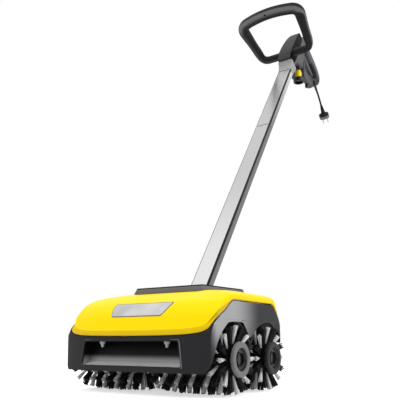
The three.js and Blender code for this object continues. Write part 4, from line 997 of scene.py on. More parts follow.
def arch_cutter(side):
    outline = rounded(scaled(ARCH_SHARES, HEAD_DEPTH, HEAD_TOP), 5, 5)
    return prism("arch_cutter", outline, "x", *on_side(side, 160, 200))


def mouth_outline(grow):
    """The recess's mouth, grown outwards."""
    low, high = RECESS_BOTTOM - grow, RECESS_TOP + grow
    return rounded([(-RECESS_BOTTOM_HALF - grow, low), (RECESS_BOTTOM_HALF + grow, low),
                    (RECESS_TOP_HALF + grow, high), (-RECESS_TOP_HALF - grow, high)], 4, 4)


def make_walls():
    """The housing's walls, with side panels that are set in below a crease."""
    rows = wall_rows()
    walls = take(formed("housing_walls", COLUMNS, len(rows) - 1, picked(rows)))
    bpy.ops.object.mode_set(mode="EDIT")
    for height in (PANEL_CREASE, PANEL_CREASE - PANEL_EDGE):
        bpy.ops.mesh.select_all(action="SELECT")
        bpy.ops.mesh.bisect(plane_co=(0, 0, height), plane_no=(0, 0, 1))
    bpy.ops.object.mode_set(mode="OBJECT")
    for vertex in walls.data.vertices:
        x, y, z = vertex.co
        if abs(x) > HEAD_HALF_WIDTH - 10 and z < PANEL_CREASE - PANEL_EDGE + 0.1:
            share = smooth_step(y, 24, 60) * (1 - smooth_step(y, 270, 290))
            vertex.co.x -= math.copysign(share * (PANEL_STEP + PANEL_LEAN * (PANEL_CREASE - z)), x)
    carved(walls, arch_cutter(-1), arch_cutter(1), prism("mouth_cutter", mouth_outline(0), "y", -10, 40))
    # The side faces get the finish with the painted sheen and shade.
    give(walls, "housing_black", "side_panel_painted_sheen")
    mark_faces(walls, lambda way, centre: abs(way.x) > 0.8 and abs(centre.x) > HEAD_HALF_WIDTH - 12)
    dressed(walls, MACHINE, "machine", "black_plastic", None, "lower_housing", angle=28)


def chamber_arc(radius, heights):
    """Points in front of the front brush's chamber, from the side."""
    return [(FRONT_AXIS - math.sqrt(radius ** 2 - (z - AXIS_HEIGHT) ** 2), z) for z in heights]


def make_recess():
    """The block behind the recess, hollowed down to a skin over the chamber."""
    low, high = HEAD_BOTTOM + 1, RECESS_TOP + 3
    back = chamber_arc(CHAMBER_RADIUS, np.linspace(high, low, 10))
    block = prism("recess_block", [(1.5, low), (1.5, high), *back], "x", -BLOCK_HALF, BLOCK_HALF)
    arc = chamber_arc(CHAMBER_RADIUS + RECESS_SKIN, np.linspace(RAMP_TOP, RECESS_TOP, 9))
    outline = [(-9, RECESS_BOTTOM), (3, RECESS_BOTTOM), *arc, (-9, RECESS_TOP)]
    pocket = prism("pocket", outline, "x", -130, 130)
    shared(pocket, prism("pocket_ends", mouth_outline(0), "y", -20, 60))
    dressed(carved(block, pocket), MACHINE, "machine", "black_plastic", "recess_grey")


def make_rim():
    """The thin frame round the recess's mouth, lighter on its upper and right side."""
    rim = prism("recess_rim", mouth_outline(RIM_WIDTH), "y", -1.6, 2.5)
    eased(carved(rim, prism("rim_opening", mouth_outline(0.1), "y", -20, 20)), 1.1, 3)
    for vertex in rim.data.vertices:
        vertex.co.y += front_bow(vertex.co.x)
    give(rim, "housing_black", "frame_painted_highlight")
    # Painted highlight: faces that look up, and those on the right that look right, get a light grey.
    mark_faces(rim, lambda way, centre: way.z > 0.3 or (way.x > 0.3 and centre.x > 0))
    dressed(rim, MACHINE, "machine", "black_plastic", None)


def deck_layer(name, low, high):
    """A layer of the deck plate, which tapers upwards."""
    piece = prism(name, rounded(mirrored(DECK_CORNERS), 7), "z", low, high)
    for corner in piece.data.vertices:
        share = 1 - DECK_TAPER * (corner.co.z - DECK_BOTTOM) / (DECK_TOP - DECK_BOTTOM)
        corner.co.x *= share
        corner.co.y = DECK_CENTRE + (corner.co.y - DECK_CENTRE) * share
    return carved(piece, slot_cutter())


def make_deck():
    band = eased(deck_layer("deck_band", DECK_BOTTOM, DECK_BAND_TOP), 0.7, 2)
    dressed(band, MACHINE, "machine", "grey_plastic", "deck_grey")
    holes = [prism("screw_cutter", circle(side * DECK_SCREW_X, DECK_SCREW_Y, 4.3, 24), "z",
                   DECK_BAND_TOP - 1, DECK_TOP + 1) for _, side in SIDES]
    top = eased(carved(deck_layer("deck_top", DECK_BAND_TOP + GAP, DECK_TOP), *holes), 0.7, 2)
    dressed(top, MACHINE, "machine", "grey_plastic", "deck_black", "deck")
    for side_name, side in SIDES:
        screw = screw_head(f"deck_screw_head_{side_name}", 3.8, 2.2)
        moved(screw, Matrix.Translation((side * DECK_SCREW_X, DECK_SCREW_Y, DECK_BAND_TOP - 0.4)))
        dressed(screw, MACHINE, "machine", "steel", "dark_steel", f"deck_screw_{side_name}")


def screw_head(name, radius, height):
    """A pan head with a six-sided socket."""
    head = turned(name, [(0, 0), (radius, 0), (radius, height * 0.55), (radius * 0.8, height * 0.9),
                         (radius * 0.5, height), (0, height)], 32)
    socket = circle(0, 0, radius * 0.45, 6)
    return carved(head, prism("socket_cutter", socket, "z", height * 0.4, height * 2))


def make_badge():
    """A bare plate with slanted ends and a low rim on the hood's front slope."""

    def sheet(name, rows, inset, out, dome):
        def form(u, v):
            z = BADGE_LOW + inset + (BADGE_HIGH - BADGE_LOW - 2 * inset) * v
            reach = BADGE_HALF - BADGE_SLANT * (BADGE_HIGH - z) / (BADGE_HIGH - BADGE_LOW) - inset * 1.2
            edge = np.clip(np.minimum(np.minimum(u, 1 - u) * 14, np.minimum(v, 1 - v) * 5), 0, 1)
            end = 1 - 0.045 * (1 - np.sin(math.pi * v) ** 0.35)
            return slope_point((2 * u - 1) * reach * end, z, out + dome * np.sin(edge * math.pi / 2)).T

        return formed(name, 72, rows, form)

    plate = thickened(sheet("badge_plate_face", 16, 1.6, 0.9, 0.9), 1.0)
    dressed(plate, MACHINE, "machine", "silver_plate", "badge_silver", "badge_plate")
    rim = thickened(sheet("badge_rim", 12, 0.0, 0.3, 1.0), 0.8)
    dressed(rim, MACHINE, "machine", "silver_plate", "hub_grey")


def make_nozzles():
    for side_name, side in SIDES:
        nozzle = turned(f"nozzle_{side_name}", [(0, 88.2), (1.2, 88.2), (2.2, 88.6), (3.2, 93), (5.6, 96.8),
                                                (6, 97.4), (6, 99.6), (4, 99.8), (4, 103), (0, 103)], 32)
        carved(nozzle, prism("spray_hole", circle(0, 0, 0.7, 12), "z", 86, 92))
        moved(nozzle, Matrix.Translation((side * NOZZLE_X, NOZZLE_Y, 0)))
        dressed(nozzle, MACHINE, "machine", "light_grey_plastic", "light_grey_plastic",
                f"spray_nozzle_{side_name}")


# Rollers

def tuft(name, strands, root_spread, tip_spread, root_radius, tip_radius, draw):
    """A bundle of tapered strands that stands on the origin."""
    pieces = []
    for i in range(strands):
        turn, share = 2.4 * i, math.sqrt((i + 0.4) / strands)
        root = Vector((math.cos(turn), math.sin(turn), 0)) * root_spread * share
        tip = Vector((math.cos(turn), math.sin(turn), 0)) * tip_spread * share
        tip.z = TUFT_LENGTH * (1 - 0.07 * draw.random())
        clear_selection()
        bpy.ops.mesh.primitive_cone_add(vertices=3, radius1=root_radius, radius2=tip_radius,
                                        depth=(tip - root).length, location=(root + tip) / 2,
                                        rotation=(tip - root).to_track_quat("Z", "Y").to_euler())
        bpy.ops.object.transform_apply(location=True, rotation=True, scale=True)
        pieces.append(bpy.context.object)
    return joined(name, *pieces)


def make_bristles(sizes, counts):
    draw = random.Random(7)
    dark = [give(tuft(f"dark_tuft_{i}", counts.dark_strands, *DARK_TUFT, draw), "bristle_black")
            for i in range(3)]
    light = [give(tuft(f"light_tuft_{i}", counts.light_strands, *LIGHT_TUFT, draw), "bristle_grey")
             for i in range(2)]
    for axle, axis_y in AXLES:
        for side_name, side in SIDES:
            tufts = standing_tufts(side, counts.tufts_around, in_mm(sizes.tuft_reach), dark, light, draw)
            sleeve = give(turned("sleeve", sleeve_outline(), 40, "x"), "sleeve_black")
            if side < 0:
                flipped(sleeve)
            brush = joined(f"{axle}_brush_{side_name}", *tufts, sleeve)
            moved(brush, Matrix.Translation((0, axis_y, AXIS_HEIGHT)))
            dressed(brush, MACHINE, f"{axle}_brush", "bristle_nylon", None, f"{axle}_bristles_{side_name}")
    for piece in (*dark, *light):
        bpy.data.objects.remove(piece)


def standing_tufts(side, around, reach, dark, light, draw):
    """Copies of the tufts in rows round one sleeve, fanned out towards both of its ends."""
    tufts = []
    for row in range(ROWS):
        share = row / (ROWS - 1)
        fan = OUTER_FAN * share ** 9 - INNER_FAN * (1 - share) ** 9
        root_x = FIRST_ROW + (LAST_ROW - FIRST_ROW) * share
        for i in range(around):
            angle = 2 * math.pi * i / around - math.pi / 2
            out = Vector((0, math.cos(angle), math.sin(angle)))
            root = out * (SLEEVE_RADIUS - 1.5) + Vector((side * root_x, 0, 0))
            tip = out * (reach - 3 * abs(fan) / OUTER_FAN) + Vector((side * (root_x + fan), 0, 0))
            way = tip - root
            chosen = draw.choice(light if (row + i) % 2 else dark)
            spin = Matrix.Rotation(draw.uniform(0, 6.28), 4, "Z")
            stand = (Matrix.Translation(root) @ way.to_track_quat("Z", "X").to_matrix().to_4x4() @ spin
                     @ Matrix.Diagonal((1, 1, way.length / TUFT_LENGTH, 1)))
            tufts.append(copied(chosen, "tuft", stand))
    return tufts


def sleeve_outline():
    """The sleeve that holds the tufts, with a low ring between its rows."""
    outer = []
    step = (LAST_ROW - FIRST_ROW) / (ROWS - 1)
    for row in range(ROWS):
        x = FIRST_ROW + row * step
        outer += [(SLEEVE_RADIUS - 0.9, x - step * 0.32), (SLEEVE_RADIUS - 0.9, x + step * 0.32),
                  (SLEEVE_RADIUS, x + step * 0.42), (SLEEVE_RADIUS, x + step * 0.58)]
    return [(SLEEVE_BORE, SLEEVE_START), (SLEEVE_RADIUS, SLEEVE_START), *outer[:-2],
            (SLEEVE_RADIUS, SLEEVE_END), (SLEEVE_BORE, SLEEVE_END)]


def make_hubs(sizes):
    """A flange with a black neck behind it, and a black cap set in its bore, at each roller end."""
    radius, bore = in_mm(sizes.hub_radius), in_mm(sizes.hub_bore)
    ring_outline = [
        (bore, RING_BACK), (radius - 1, RING_BACK), (radius, RING_BACK + 1), (radius, HUB_FACE - 2.6),
        (radius - 0.7, HUB_FACE - 0.9), (radius - 2.4, HUB_FACE - 0.1), (radius - 4, HUB_FACE),
        (bore + 2.6, HUB_FACE), (bore + 1, HUB_FACE - 0.4), (bore, HUB_FACE - 1.6),
    ]
    cap_outline = [
        (0, HUB_BACK), (27, HUB_BACK), (27, RING_BACK - 0.1), (bore - 0.2, RING_BACK - 0.1),
        (bore - 0.2, 196), (bore - 1, 196.2), (bore - 2, 195), (bore - 3, 192.4), (bore - 5, 191.4),
        (14.4, 191.2), (14, 191.6), (14, 195), (13.4, 195.6), (12.6, 195.2), (12.4, 191), (0, 190.7),
    ]
    # The rear hubs get a darker copy of the front hubs' grey as painted shade.
    for (axle, axis_y), look in zip(AXLES, ("hub_grey", "rear_hub_painted_shade")):
        for side_name, side in SIDES:
            ring = give(turned("ring", ring_outline, 72, "x"), look)
            cap = give(turned("cap", cap_outline, 72, "x"), "gloss_black")
            hub = joined(f"{axle}_hub_{side_name}", ring, cap)
            if side < 0:
                flipped(hub)
            moved(hub, Matrix.Translation((0, axis_y, AXIS_HEIGHT)))
            dressed(hub, MACHINE, f"{axle}_brush", "black_plastic", None, f"{axle}_hub_ring_{side_name}")


# Handle

def tube_outline(grow):
    across, deep = TUBE_HALF_WIDTH + grow, TUBE_HALF_DEPTH + grow
    return rounded(rectangle(-across, -deep, across, deep), TUBE_CORNER + grow, 6)


def strip_box(name, side, outer, start, end):
    """A box along one front edge of the tube, outwards as far as given."""
    low, high = on_side(side, TUBE_HALF_WIDTH - STRIP_ROOM, TUBE_HALF_WIDTH + outer)
    return box(name, (low, -TUBE_HALF_DEPTH + 0.6, start), (high, -TUBE_HALF_DEPTH + STRIP, end))


def make_tube():
    """Two tube lengths, each with a dark strip let into both front edges."""
    for name, start, end, node in (("tube_lower", TUBE_START, TUBE_JOINT - JOINT_HALF, "lower_tube"),
                                   ("tube_upper", TUBE_JOINT + JOINT_HALF, TUBE_END, "upper_tube")):
        tube = prism(name, tube_outline(0), "z", start, end)
        carved(tube, box("end_cutter", (-22.1, -11.7, 0), (22.1, 11.7, start + 6)),
               box("end_cutter", (-22.1, -11.7, end - 6), (22.1, 11.7, 1200)),
               *[strip_box("groove_cutter", side, 3, 0, 1200) for _, side in SIDES])
        give(tube, "tube_front", "tube_side")
        # The side faces get the darker finish, painted reflection on the same aluminium.
        mark_faces(tube, lambda way, centre: abs(way.x) > 0.85)
        dressed(tube, HANDLE, "handle", "tube_aluminium", None, node)
        for side_name, side in SIDES:
            # Painted shade: a black strip fills the groove, where only its shade is dark.
            strip = strip_box(f"{name}_strip_{side_name}", side, -0.5, start + 0.5, end - 0.5)
            dressed(eased(strip, 0.3, 2), HANDLE, "handle", "soft_black", "edge_strip_black")
    ring = prism("tube_joint_ring", tube_outline(-0.5), "z", TUBE_JOINT - JOINT_HALF,
                 TUBE_JOINT + JOINT_HALF)
    carved(ring, prism("ring_bore", tube_outline(-1.3), "z", 700, 740))
    dressed(ring, HANDLE, "handle", "soft_black", "edge_strip_black")


def ringed(name, rings):
    """A closed skin over rings of (outline, height), all with the same number of corners."""
    rows = [[(*point, z) for point in (*outline, outline[0])] for outline, z in rings]
    ends = [[(0, np.mean([p[1] for p in row]), row[0][2])] * len(row) for row in (rows[0], rows[-1])]
    rows = [ends[0], *rows, ends[1]]
    return formed(name, len(rows[0]) - 1, len(rows) - 1, picked(rows))


def make_collar():
    """The sleeve that flares from the tube to the cover, by height, half width, front and back."""
    sections = [(1050.4, 24.3, 13.9, 13.9), (1051, 24.8, 14.4, 14.4), (1058, 25, 14.8, 14.6),
                (1070, 25.8, 18.5, 14.6), (1080, 26.8, 24, 14.6), (1088.2, 27.8, 30, 14.4),
                (COLLAR_TOP, 27.2, 29.4, 14)]
    collar = ringed("tube_collar_flare", [(rounded(rectangle(-half, -front, half, back), 6.5, 6), z)
                                          for z, half, front, back in sections])
    carved(collar, prism("tube_room", tube_outline(GAP), "z", 1040, TUBE_END + GAP))
    dressed(collar, HANDLE, "handle", "light_grey_plastic", "collar_grey", "tube_collar")


def make_cover():
    """The cover in front of the grip: a grained face with dark sides."""
    side, front = (np.array(through(shares, 6)) for shares in (COVER_SIDE_SHARES, COVER_FRONT_SHARES))
    rings = []
    for share in np.sin(np.linspace(0, math.pi / 2, 40)) * COVER_TOP_SHARE:
        depth = COVER_DEPTH * np.interp(share, side[:, 1], side[:, 0])
        half = COVER_HALF * np.interp(share, front[:, 1], front[:, 0])
        corner = min(COVER_CORNER, half * 0.8, depth * 0.4)
        rings.append((rounded(rectangle(-half, -depth, half, -COVER_BACK), corner, 5),
                      SPINE_BASE + share * SPINE_LENGTH))
    cover = ringed("grip_cover", rings)
    bar = moved(prism("bar_room", rounded(rectangle(-13, -13.6, 13, 13.6), 5), "x", -40, 40), LOOP_BAR)
    carved(cover, bar, box("collar_room", (-40, -80, 1040), (40, 40, COLLAR_TOP + 0.4)))
    give(cover, "cover_grey", "cover_black")
    mark_faces(cover, lambda way, centre: abs(way.x) > 0.55 or way.y > 0.3)
    dressed(cover, HANDLE, "handle", "grey_plastic", None, "spine_cover")


def shell_outline():
    return rounded([(-GRIP_SPINE, SPINE_BASE), *[shell_point(s) for s in SHELL_SHARES],
                    (-GRIP_SPINE, SPINE_BASE + SPINE_LENGTH)], 9, 5)


def finger_room():
    return prism("finger_room", rounded([shell_point(s) for s in OPENING_SHARES], 9, 5), "x", -30, 30)


def make_grip():
    """The rear grip's two halves, thinner at the guard, and its soft skin."""
    guard = [shell_point(s) for s in GUARD_SHARES]
    trigger_low = [place - GAP for place in shell_point((0.16, 0.72))]
    trigger_high = shell_point((0.26, 0.87))
    for side_name, side in SIDES:
        shell = prism(f"grip_half_{side_name}", shell_outline(), "x", -GRIP_HALF, GRIP_HALF)
        carved(shell, finger_room(), *[prism("guard_side", guard, "x", *on_side(cut, GUARD_HALF, 30))
                                       for cut in (1, -1)])
        eased(shell, GRIP_ROUND, 6, 50)
        valve_room = prism("valve_room", circle(0, 0, 13, 40), "z", 1086, 1124.5)
        carved(shell, box("trigger_room", (-8.4, *trigger_low), (8.4, *trigger_high)),
               moved(valve_room, HANDLE.inverted() @ VALVE),
               box("mid_cutter", (-40, -60, 900), (0.15, 260, 1400)))
        if side < 0:
            flipped(shell)
        dressed(shell, HANDLE, "handle", "grey_plastic", "grip_grey", f"grip_shell_{side_name}")
    make_soft_grip()


def make_soft_grip():
    """A soft skin on the palm's inner side and round the grip's rear end."""
    soft = prism("soft_grip", shell_outline(), "x", -GRIP_HALF - SOFT_SKIN, GRIP_HALF + SOFT_SKIN)
    eased(carved(soft, finger_room()), GRIP_ROUND + 0.3, 6, 50)
    outline = rounded([(104, 1262), (150, 1243), (170, 1228), (206, 1258), (206, 1290), (176, 1286),
                       (150, 1291), (104, 1289)], 5)
    shared(soft, prism("soft_part", outline, "x", -30, 30))
    dressed(soft, HANDLE, "handle", "soft_black", "soft_black")


def make_trigger():
    outline = rounded([shell_point(s) for s in TRIGGER_SHARES], 5, 5)
    lever = eased(prism("trigger_lever", outline, "x", -8, 8), 2.2, 4, 50)
    dressed(lever, HANDLE, "trigger", "grey_plastic", "grip_grey", "trigger")


def loop_centre(reach, arch, near_half, far_half, count):
    """Points round the loop's centre line, with the half width and half height of its bar at each."""
    line = rounded([(near_half, 0), (far_half, reach), (-far_half, reach), (-near_half, 0)], 25, 14)
    closed = np.array([*line, line[0]])
    lengths = np.concatenate([[0], np.cumsum(np.linalg.norm(np.diff(closed, axis=0), axis=1))])
    at = np.linspace(0, lengths[-1], count + 1)
    x = np.interp(at, lengths, closed[:, 0])
    y = np.interp(at, lengths, closed[:, 1])
    far = smooth_step(y, reach - 90, reach - 8)
    half = 12 + 2.5 * smooth_step(y, 8, 40) + 3.5 * far
    arched = y + arch * (1 - (x / far_half) ** 2) * smooth_step(y, 70, reach)
    return x, arched, half, 13 + 2.5 * far


def ring_slope(values):
    """How fast values change round a closed line whose last place is its first."""
    closing = np.arange(len(values)) % (len(values) - 1) == 0
    return np.where(closing, (values[1] - values[-2]) / 2, np.gradient(values))


def make_loop(sizes):
    """The front loop: a rounded bar with a parting groove round its middle and one screw hole."""
    count = 240
    reach, arch = in_mm(sizes.loop_reach), in_mm(sizes.loop_arch)
    x, y, half, height = loop_centre(reach, arch, in_mm(sizes.loop_near), in_mm(sizes.loop_far), count)
    slope_x, slope_y = ring_slope(x), ring_slope(y)
    size = np.hypot(slope_x, slope_y)
    normal_x, normal_y = slope_y / size, -slope_x / size
    turns = []
    for base in (0, 180):
        turns += [base + step for step in (-3.2, -1.6, -1.5, 1.5, 1.6, 3.2, *range(8, 174, 6))]
    turns = np.radians(sorted(turn % 360 for turn in turns))
    grooved = np.abs(np.sin(turns)) < math.sin(math.radians(1.55))
    power = 2 / 2.9

    def picks(u, v):
        return np.rint(u * count).astype(int), np.rint(v * len(turns)).astype(int) % len(turns)

    def form(u, v):
        column, row = picks(u, v)
        c, s = np.cos(turns[row]), np.sin(turns[row])
        sideways = np.sign(c) * np.abs(c) ** power * (half[column] - 0.7 * grooved[row])
        up = np.sign(s) * np.abs(s) ** power * height[column]
        return np.stack([x[column] + normal_x[column] * sideways,
                         y[column] + normal_y[column] * sideways, up])

    # Painted highlight: how much of the lighter band each place gets, strongest round the far bar.
    def highlight_share(u, v):
        column, row = picks(u, v)
        far = smooth_step(y[column], reach - 26, reach - 4)
        right = smooth_step(-x[column], 30, 90) * (1 - far)
        middle = -78 + 18 * far + 60 * right
        spread = 14 + 24 * far + 8 * right
        angle = np.degrees(turns[row])
        angle = np.where(angle > 180, angle - 360, angle)
        most = 0.35 + 0.65 * far + 0.4 * right
        return most * (1 - smooth_step(np.abs(angle - middle), spread * 0.4, spread))

    loop = formed("front_loop", count, len(turns), form, highlight_share=highlight_share)
    carved(loop, prism("hole_cutter", circle(3, reach + arch + 6, 2.8, 24), "z", -20, -4))
    dressed(loop, LOOP, "handle", "black_plastic", "loop_black", "loop_upper_shell", "loop_lower_shell",
            "loop_screw_left", "loop_screw_right", angle=40)


def make_valve():
    """The upright valve with its knob and hose coupling, and the two legs that hold it."""
    body = turned("valve_block", [(0, 1061.4), (6, 1061.4), (6, 1090), (11.4, 1090), (12.5, 1091.2),
                                  (12.5, 1124), (0, 1124)], 40)
    dressed(body, VALVE, "handle", "grey_plastic", "gloss_black", "valve_body")
    knob = turned("valve_turn_knob", [(6.4, 1054.6), (8.6, 1054.7), (10.8, 1059), (11.8, 1066),
                                      (11.8, 1074), (10.8, 1081), (8.6, 1085.2), (6.4, 1085.4)], 48)
    carved(knob, *[prism("rib_cutter", circle(*place, 1.0, 12), "z", 1050, 1090)
                   for place in circle(0, 0, 12.4, 12)])
    dressed(knob, VALVE, "valve_knob", "yellow_plastic", "knob_yellow", "valve_knob")
    coupling = turned("hose_coupling_ring", [
        (0, 1054.2), (17, 1054.2), (19, 1053), (19.8, 1051), (19.8, 1047.4), (19, 1046.8), (19, 1045.4),
        (19.8, 1044.8), (19.8, 1039.4), (18.6, 1037.3), (17, 1037), (14.5, 1037), (14.5, 1050), (8, 1050),
        (6.5, 1049), (6.5, 1044), (5, 1043), (0, 1043),
    ], 56)
    dressed(coupling, VALVE, "handle", "black_plastic", "gloss_black", "hose_coupling")
    leg = [(1047, -15), (1051, -20), (1124, -20), (1124, -13), (1090, -13.5), (1051, -14)]
    for name, turn in (("valve_leg_front", 1), ("valve_leg_rear", -1)):
        outline = rounded([(turn * y, z) for z, y in leg], 3, 4)
        bracket = eased(prism(name, outline, "x", *on_side(-turn, 5, 19)), 1.6, 3, 50)
        dressed(bracket, VALVE, "handle", "grey_plastic", "grip_grey")


def make_hook():
    """The lead's hook under the guard, with its shares along and away from it."""
    start, end = (Vector(shell_point(SHELL_SHARES[i])) for i in (6, 7))
    along = end - start
    out = Vector((along.y, -along.x)).normalized()
    shares = [(0.15, 0), (0.85, 0), (0.8, 0.4), (0.45, 0.4), (0.3, 1), (0.12, 0.85)]
    outline = [tuple(start + along * a + out * (GAP + 16 * o)) for a, o in shares]
    hook = eased(prism("lead_hook", rounded(outline, 3, 4), "x", -6, 6), 1.3, 3, 50)
    dressed(hook, HANDLE, "handle", "black_plastic", "gloss_black", "cable_hook")


# Mains lead

def ribbed(start_radius, end_radius, start, end, ribs, depth):
    """Outline points of a tapered sleeve with grooves round it."""
    found = []
    pitch = (end - start) / ribs
    for i in range(ribs):
        for share, sunk in ((0.0, 1), (0.12, 0), (0.6, 0), (0.72, 1)):
            t = (i + share) / ribs
            radius = start_radius + (end_radius - start_radius) * t - depth * sunk
            found.append((radius, start + pitch * (i + share)))
    return found


def make_relief():
    relief = turned("strain_relief_sleeve", [
        (0, -2), (6.8, -2), (7.5, -1.2), (7.5, 0.4), (5.5, 0.8), *ribbed(5.5, 4.3, 3, 29, 8, 0.55),
        (4.2, 29.4), (4.2, 30), (0, 30),
    ], 36)
    return dressed(relief, RELIEF, "handle", "soft_black", "soft_black", "strain_relief")


def make_plug():
    """The plug's ribbed boot, its body with two flats for the fingers, its face and its two pins."""
    boot = turned("boot", [(0, 0), (4.4, 0), (4.6, 0.6), *ribbed(4.7, 8.2, 2, 30, 8, 0.6), (8.5, 31),
                           (9.5, 33.4), (0, 33.4)], 36)
    body = turned("body", [(0, 33.6), (15.5, 33.6), (18.4, 35.4), (19.5, 38.5), (19.5, 45.6),
                           (0, 45.6)], 56)
    face = turned("face", [(0, 46), (19.3, 46), (19.3, 54.4), (17.6, 57.2), (15.4, 58), (0, 58)], 56)
    for _, side in SIDES:
        low, high = on_side(side, 15.6, 21.6)
        carved(body, box("finger_cutter", (-30, low, 30), (30, high, 48)))
    eased(body, 0.8, 2, 40)
    pins = [moved(turned("pin", [(0, 57.7), (2.4, 57.7), (2.4, 75.6), (1.9, 76.6), (0, 77)], 24),
                  Matrix.Translation((side * 9.5, 0, 0))) for _, side in SIDES]
    for pin in pins:
        give(pin, "steel")
    plug = joined("mains_plug", give(boot, "lead_black"), give(body, "lead_black"),
                  give(face, "hub_grey"), *pins)
    return dressed(plug, PLUG, "handle", "soft_black", None, "plug")


def make_lead():
    relief = make_relief()
    plug = make_plug()
    clear_selection()
    bpy.ops.curve.primitive_nurbs_path_add()
    cord = named("mains_cord")
    cord.data.splines.clear()
    spline = cord.data.splines.new("POLY")
    spline.points.add(len(CORD_POINTS) - 1)
    for point, place in zip(spline.points, CORD_POINTS):
        point.co = (*place, 1)
    cord.data.bevel_depth = 0.0035
    cord.data.bevel_resolution = 6
    cord.data.use_fill_caps = True
    give(cord, "lead_black")
    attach(cord, "handle")
    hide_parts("cord")


# Inner parts that the solids already show well

INNER_FINISHES = {
    "painted_steel": ["chassis"],
    "cast_metal": ["gear_case_left", "gear_case_right", "motor_housing"],
    "winding_copper": ["motor_stator"],
    "cover_grey": ["water_rail", "control_box", "tube_joint_sleeve"],
    "soft_black": ["water_pipe", "power_switch"],
    "sleeve_black": [f"{axle}_roller_core_{side}" for axle, _ in AXLES for side, _ in SIDES],
    "gloss_black": ["tube_foot"],
    "steel": ["motor_rotor", "reduction_gear", "high_idler_gear", "front_idler_gear", "rear_idler_gear",
              "pivot_pin", "trigger_pin", "front_shaft", "rear_shaft", "front_drive_gear",
              "rear_drive_gear"],
}


def dress_inner_parts():
    for look, nodes in INNER_FINISHES.items():
        for node in nodes:
            frame["nodes"][node].data.materials.clear()
            give(frame["nodes"][node], look)


# Stage

def light_path_mix(tree, plain, shown):
    """Shows one shader to the camera and in gloss, and lights with the other."""
    path = tree.nodes.new("ShaderNodeLightPath")
    mix = tree.nodes.new("ShaderNodeMixShader")
    seen, clear = tree.nodes.new("ShaderNodeMath"), tree.nodes.new("ShaderNodeMath")
    seen.operation = clear.operation = "MAXIMUM"
    linked(tree, (path.outputs["Is Camera Ray"], seen.inputs[0]),
           (path.outputs["Is Glossy Ray"], seen.inputs[1]), (seen.outputs[0], clear.inputs[0]),
           (path.outputs["Is Transmission Ray"], clear.inputs[1]), (clear.outputs[0], mix.inputs["Fac"]),
           (plain, mix.inputs[1]), (shown, mix.inputs[2]))
    return mix.outputs["Shader"]


def make_world(level):
    """A white world that the camera sees at full strength and that lights the part less."""
    world = bpy.data.worlds.new("studio")
    bpy.context.scene.world = world
    world.use_nodes = True
    tree = world.node_tree
    plain, shown = tree.nodes["Background"], tree.nodes.new("ShaderNodeBackground")
    for background, strength in ((plain, level), (shown, 1.0)):
        background.inputs["Color"].default_value = (1, 1, 1, 1)
        background.inputs["Strength"].default_value = strength
    linked(tree, (light_path_mix(tree, plain.outputs[0], shown.outputs[0]),
                  tree.nodes["World Output"].inputs["Surface"]))


def make_floor(glow):
    """A white floor that takes the part's shadow and shines a little by itself."""
    clear_selection()
    bpy.ops.mesh.primitive_plane_add(size=60, location=(0, 0, 0))
    floor = named("studio_floor")
    paint = bpy.data.materials.new("studio_floor_paint")
    paint.use_nodes = True
    tree = paint.node_tree
    shader = tree.nodes["Principled BSDF"]
    shader.inputs["Base Color"].default_value = (0.8, 0.8, 0.8, 1)
    shader.inputs["Roughness"].default_value = 0.9
    bright = tree.nodes.new("ShaderNodeEmission")
    bright.inputs["Strength"].default_value = glow
    lit = tree.nodes.new("ShaderNodeAddShader")
    linked(tree, (shader.outputs[0], lit.inputs[0]), (bright.outputs[0], lit.inputs[1]),
           (light_path_mix(tree, shader.outputs[0], lit.outputs[0]),
            tree.nodes["Material Output"].inputs["Surface"]))
    floor.data.materials.append(paint)


def make_lamp(name, place, target, size, energy, in_gloss):
    clear_selection()
    bpy.ops.object.light_add(type="AREA", location=place)
    lamp = named(name)
    lamp.rotation_euler = (Vector(target) - Vector(place)).to_track_quat("-Z", "Y").to_euler()
    lamp.data.shape = "DISK"
    lamp.data.size = size
    lamp.data.energy = energy
    lamp.visible_glossy = in_gloss


def make_stage(settings):
    make_world(settings.world_level)
    make_floor(settings.floor_glow)
    make_lamp("right_light", (2.6, 0.5, 1.9), (0, -0.3, 0.2), 1.6, settings.right_light, True)
    make_lamp("front_light", (-1.2, -2.6, 2.6), (0, -0.2, 0.3), 2.2, settings.front_light, False)
    make_lamp("top_light", (0, -0.3, 3.4), (0, 0, 0.3), 2.4, settings.top_light, False)
    clear_selection()
    bpy.ops.object.camera_add(location=(0.7225, -1.385067, 0.0975),
                              rotation=Euler((math.radians(104.6502), 0, math.radians(33.6263))))
    camera = named("photo_camera")
    camera.data.sensor_width = 36
    camera.data.lens = settings.lens
    bpy.context.scene.camera = camera
    bpy.context.scene.view_settings.view_transform = "Standard"


# Settings

def length(name, description, millimetres):
    return FloatProperty(name=name, description=description, default=millimetres * MM, min=0,
                         subtype="DISTANCE", unit="LENGTH")


def colour(name, description, default):
    return FloatVectorProperty(name=name, description=description, default=default, subtype="COLOR",
                               min=0, max=1)


def count(name, description, default, low, high):
    return IntProperty(name=name, description=description, default=default, min=low, max=high)


def level(name, description, default):
    return FloatProperty(name=name, description=description, default=default, min=0)


def power(name, description, default):
    return FloatProperty(name=name, description=description, default=default, min=0, subtype="POWER",
                         unit="POWER")


class PatioCleanerSizes(bpy.types.PropertyGroup):
    """Sizes of the visible pieces."""

    band_height: length("Hood Band Height", "Height of the hood's lower band", 11)
    tuft_reach: length("Tuft Reach", "How far the tufts reach from a roller's axis", 66.3)
    hub_radius: length("Hub Radius", "Outer radius of the flange at a roller's end", 33)
    hub_bore: length("Hub Bore", "Radius of the bore in that flange", 21.5)
    loop_reach: length("Loop Reach", "How far the front loop reaches from the handle", 157)
    loop_arch: length("Loop Arch", "How far the middle of the loop's far bar stands out", 17)
    loop_near: length("Loop Near Half", "Half width of the loop at the handle", 92)
    loop_far: length("Loop Far Half", "Half width of the loop at its far bar", 109)


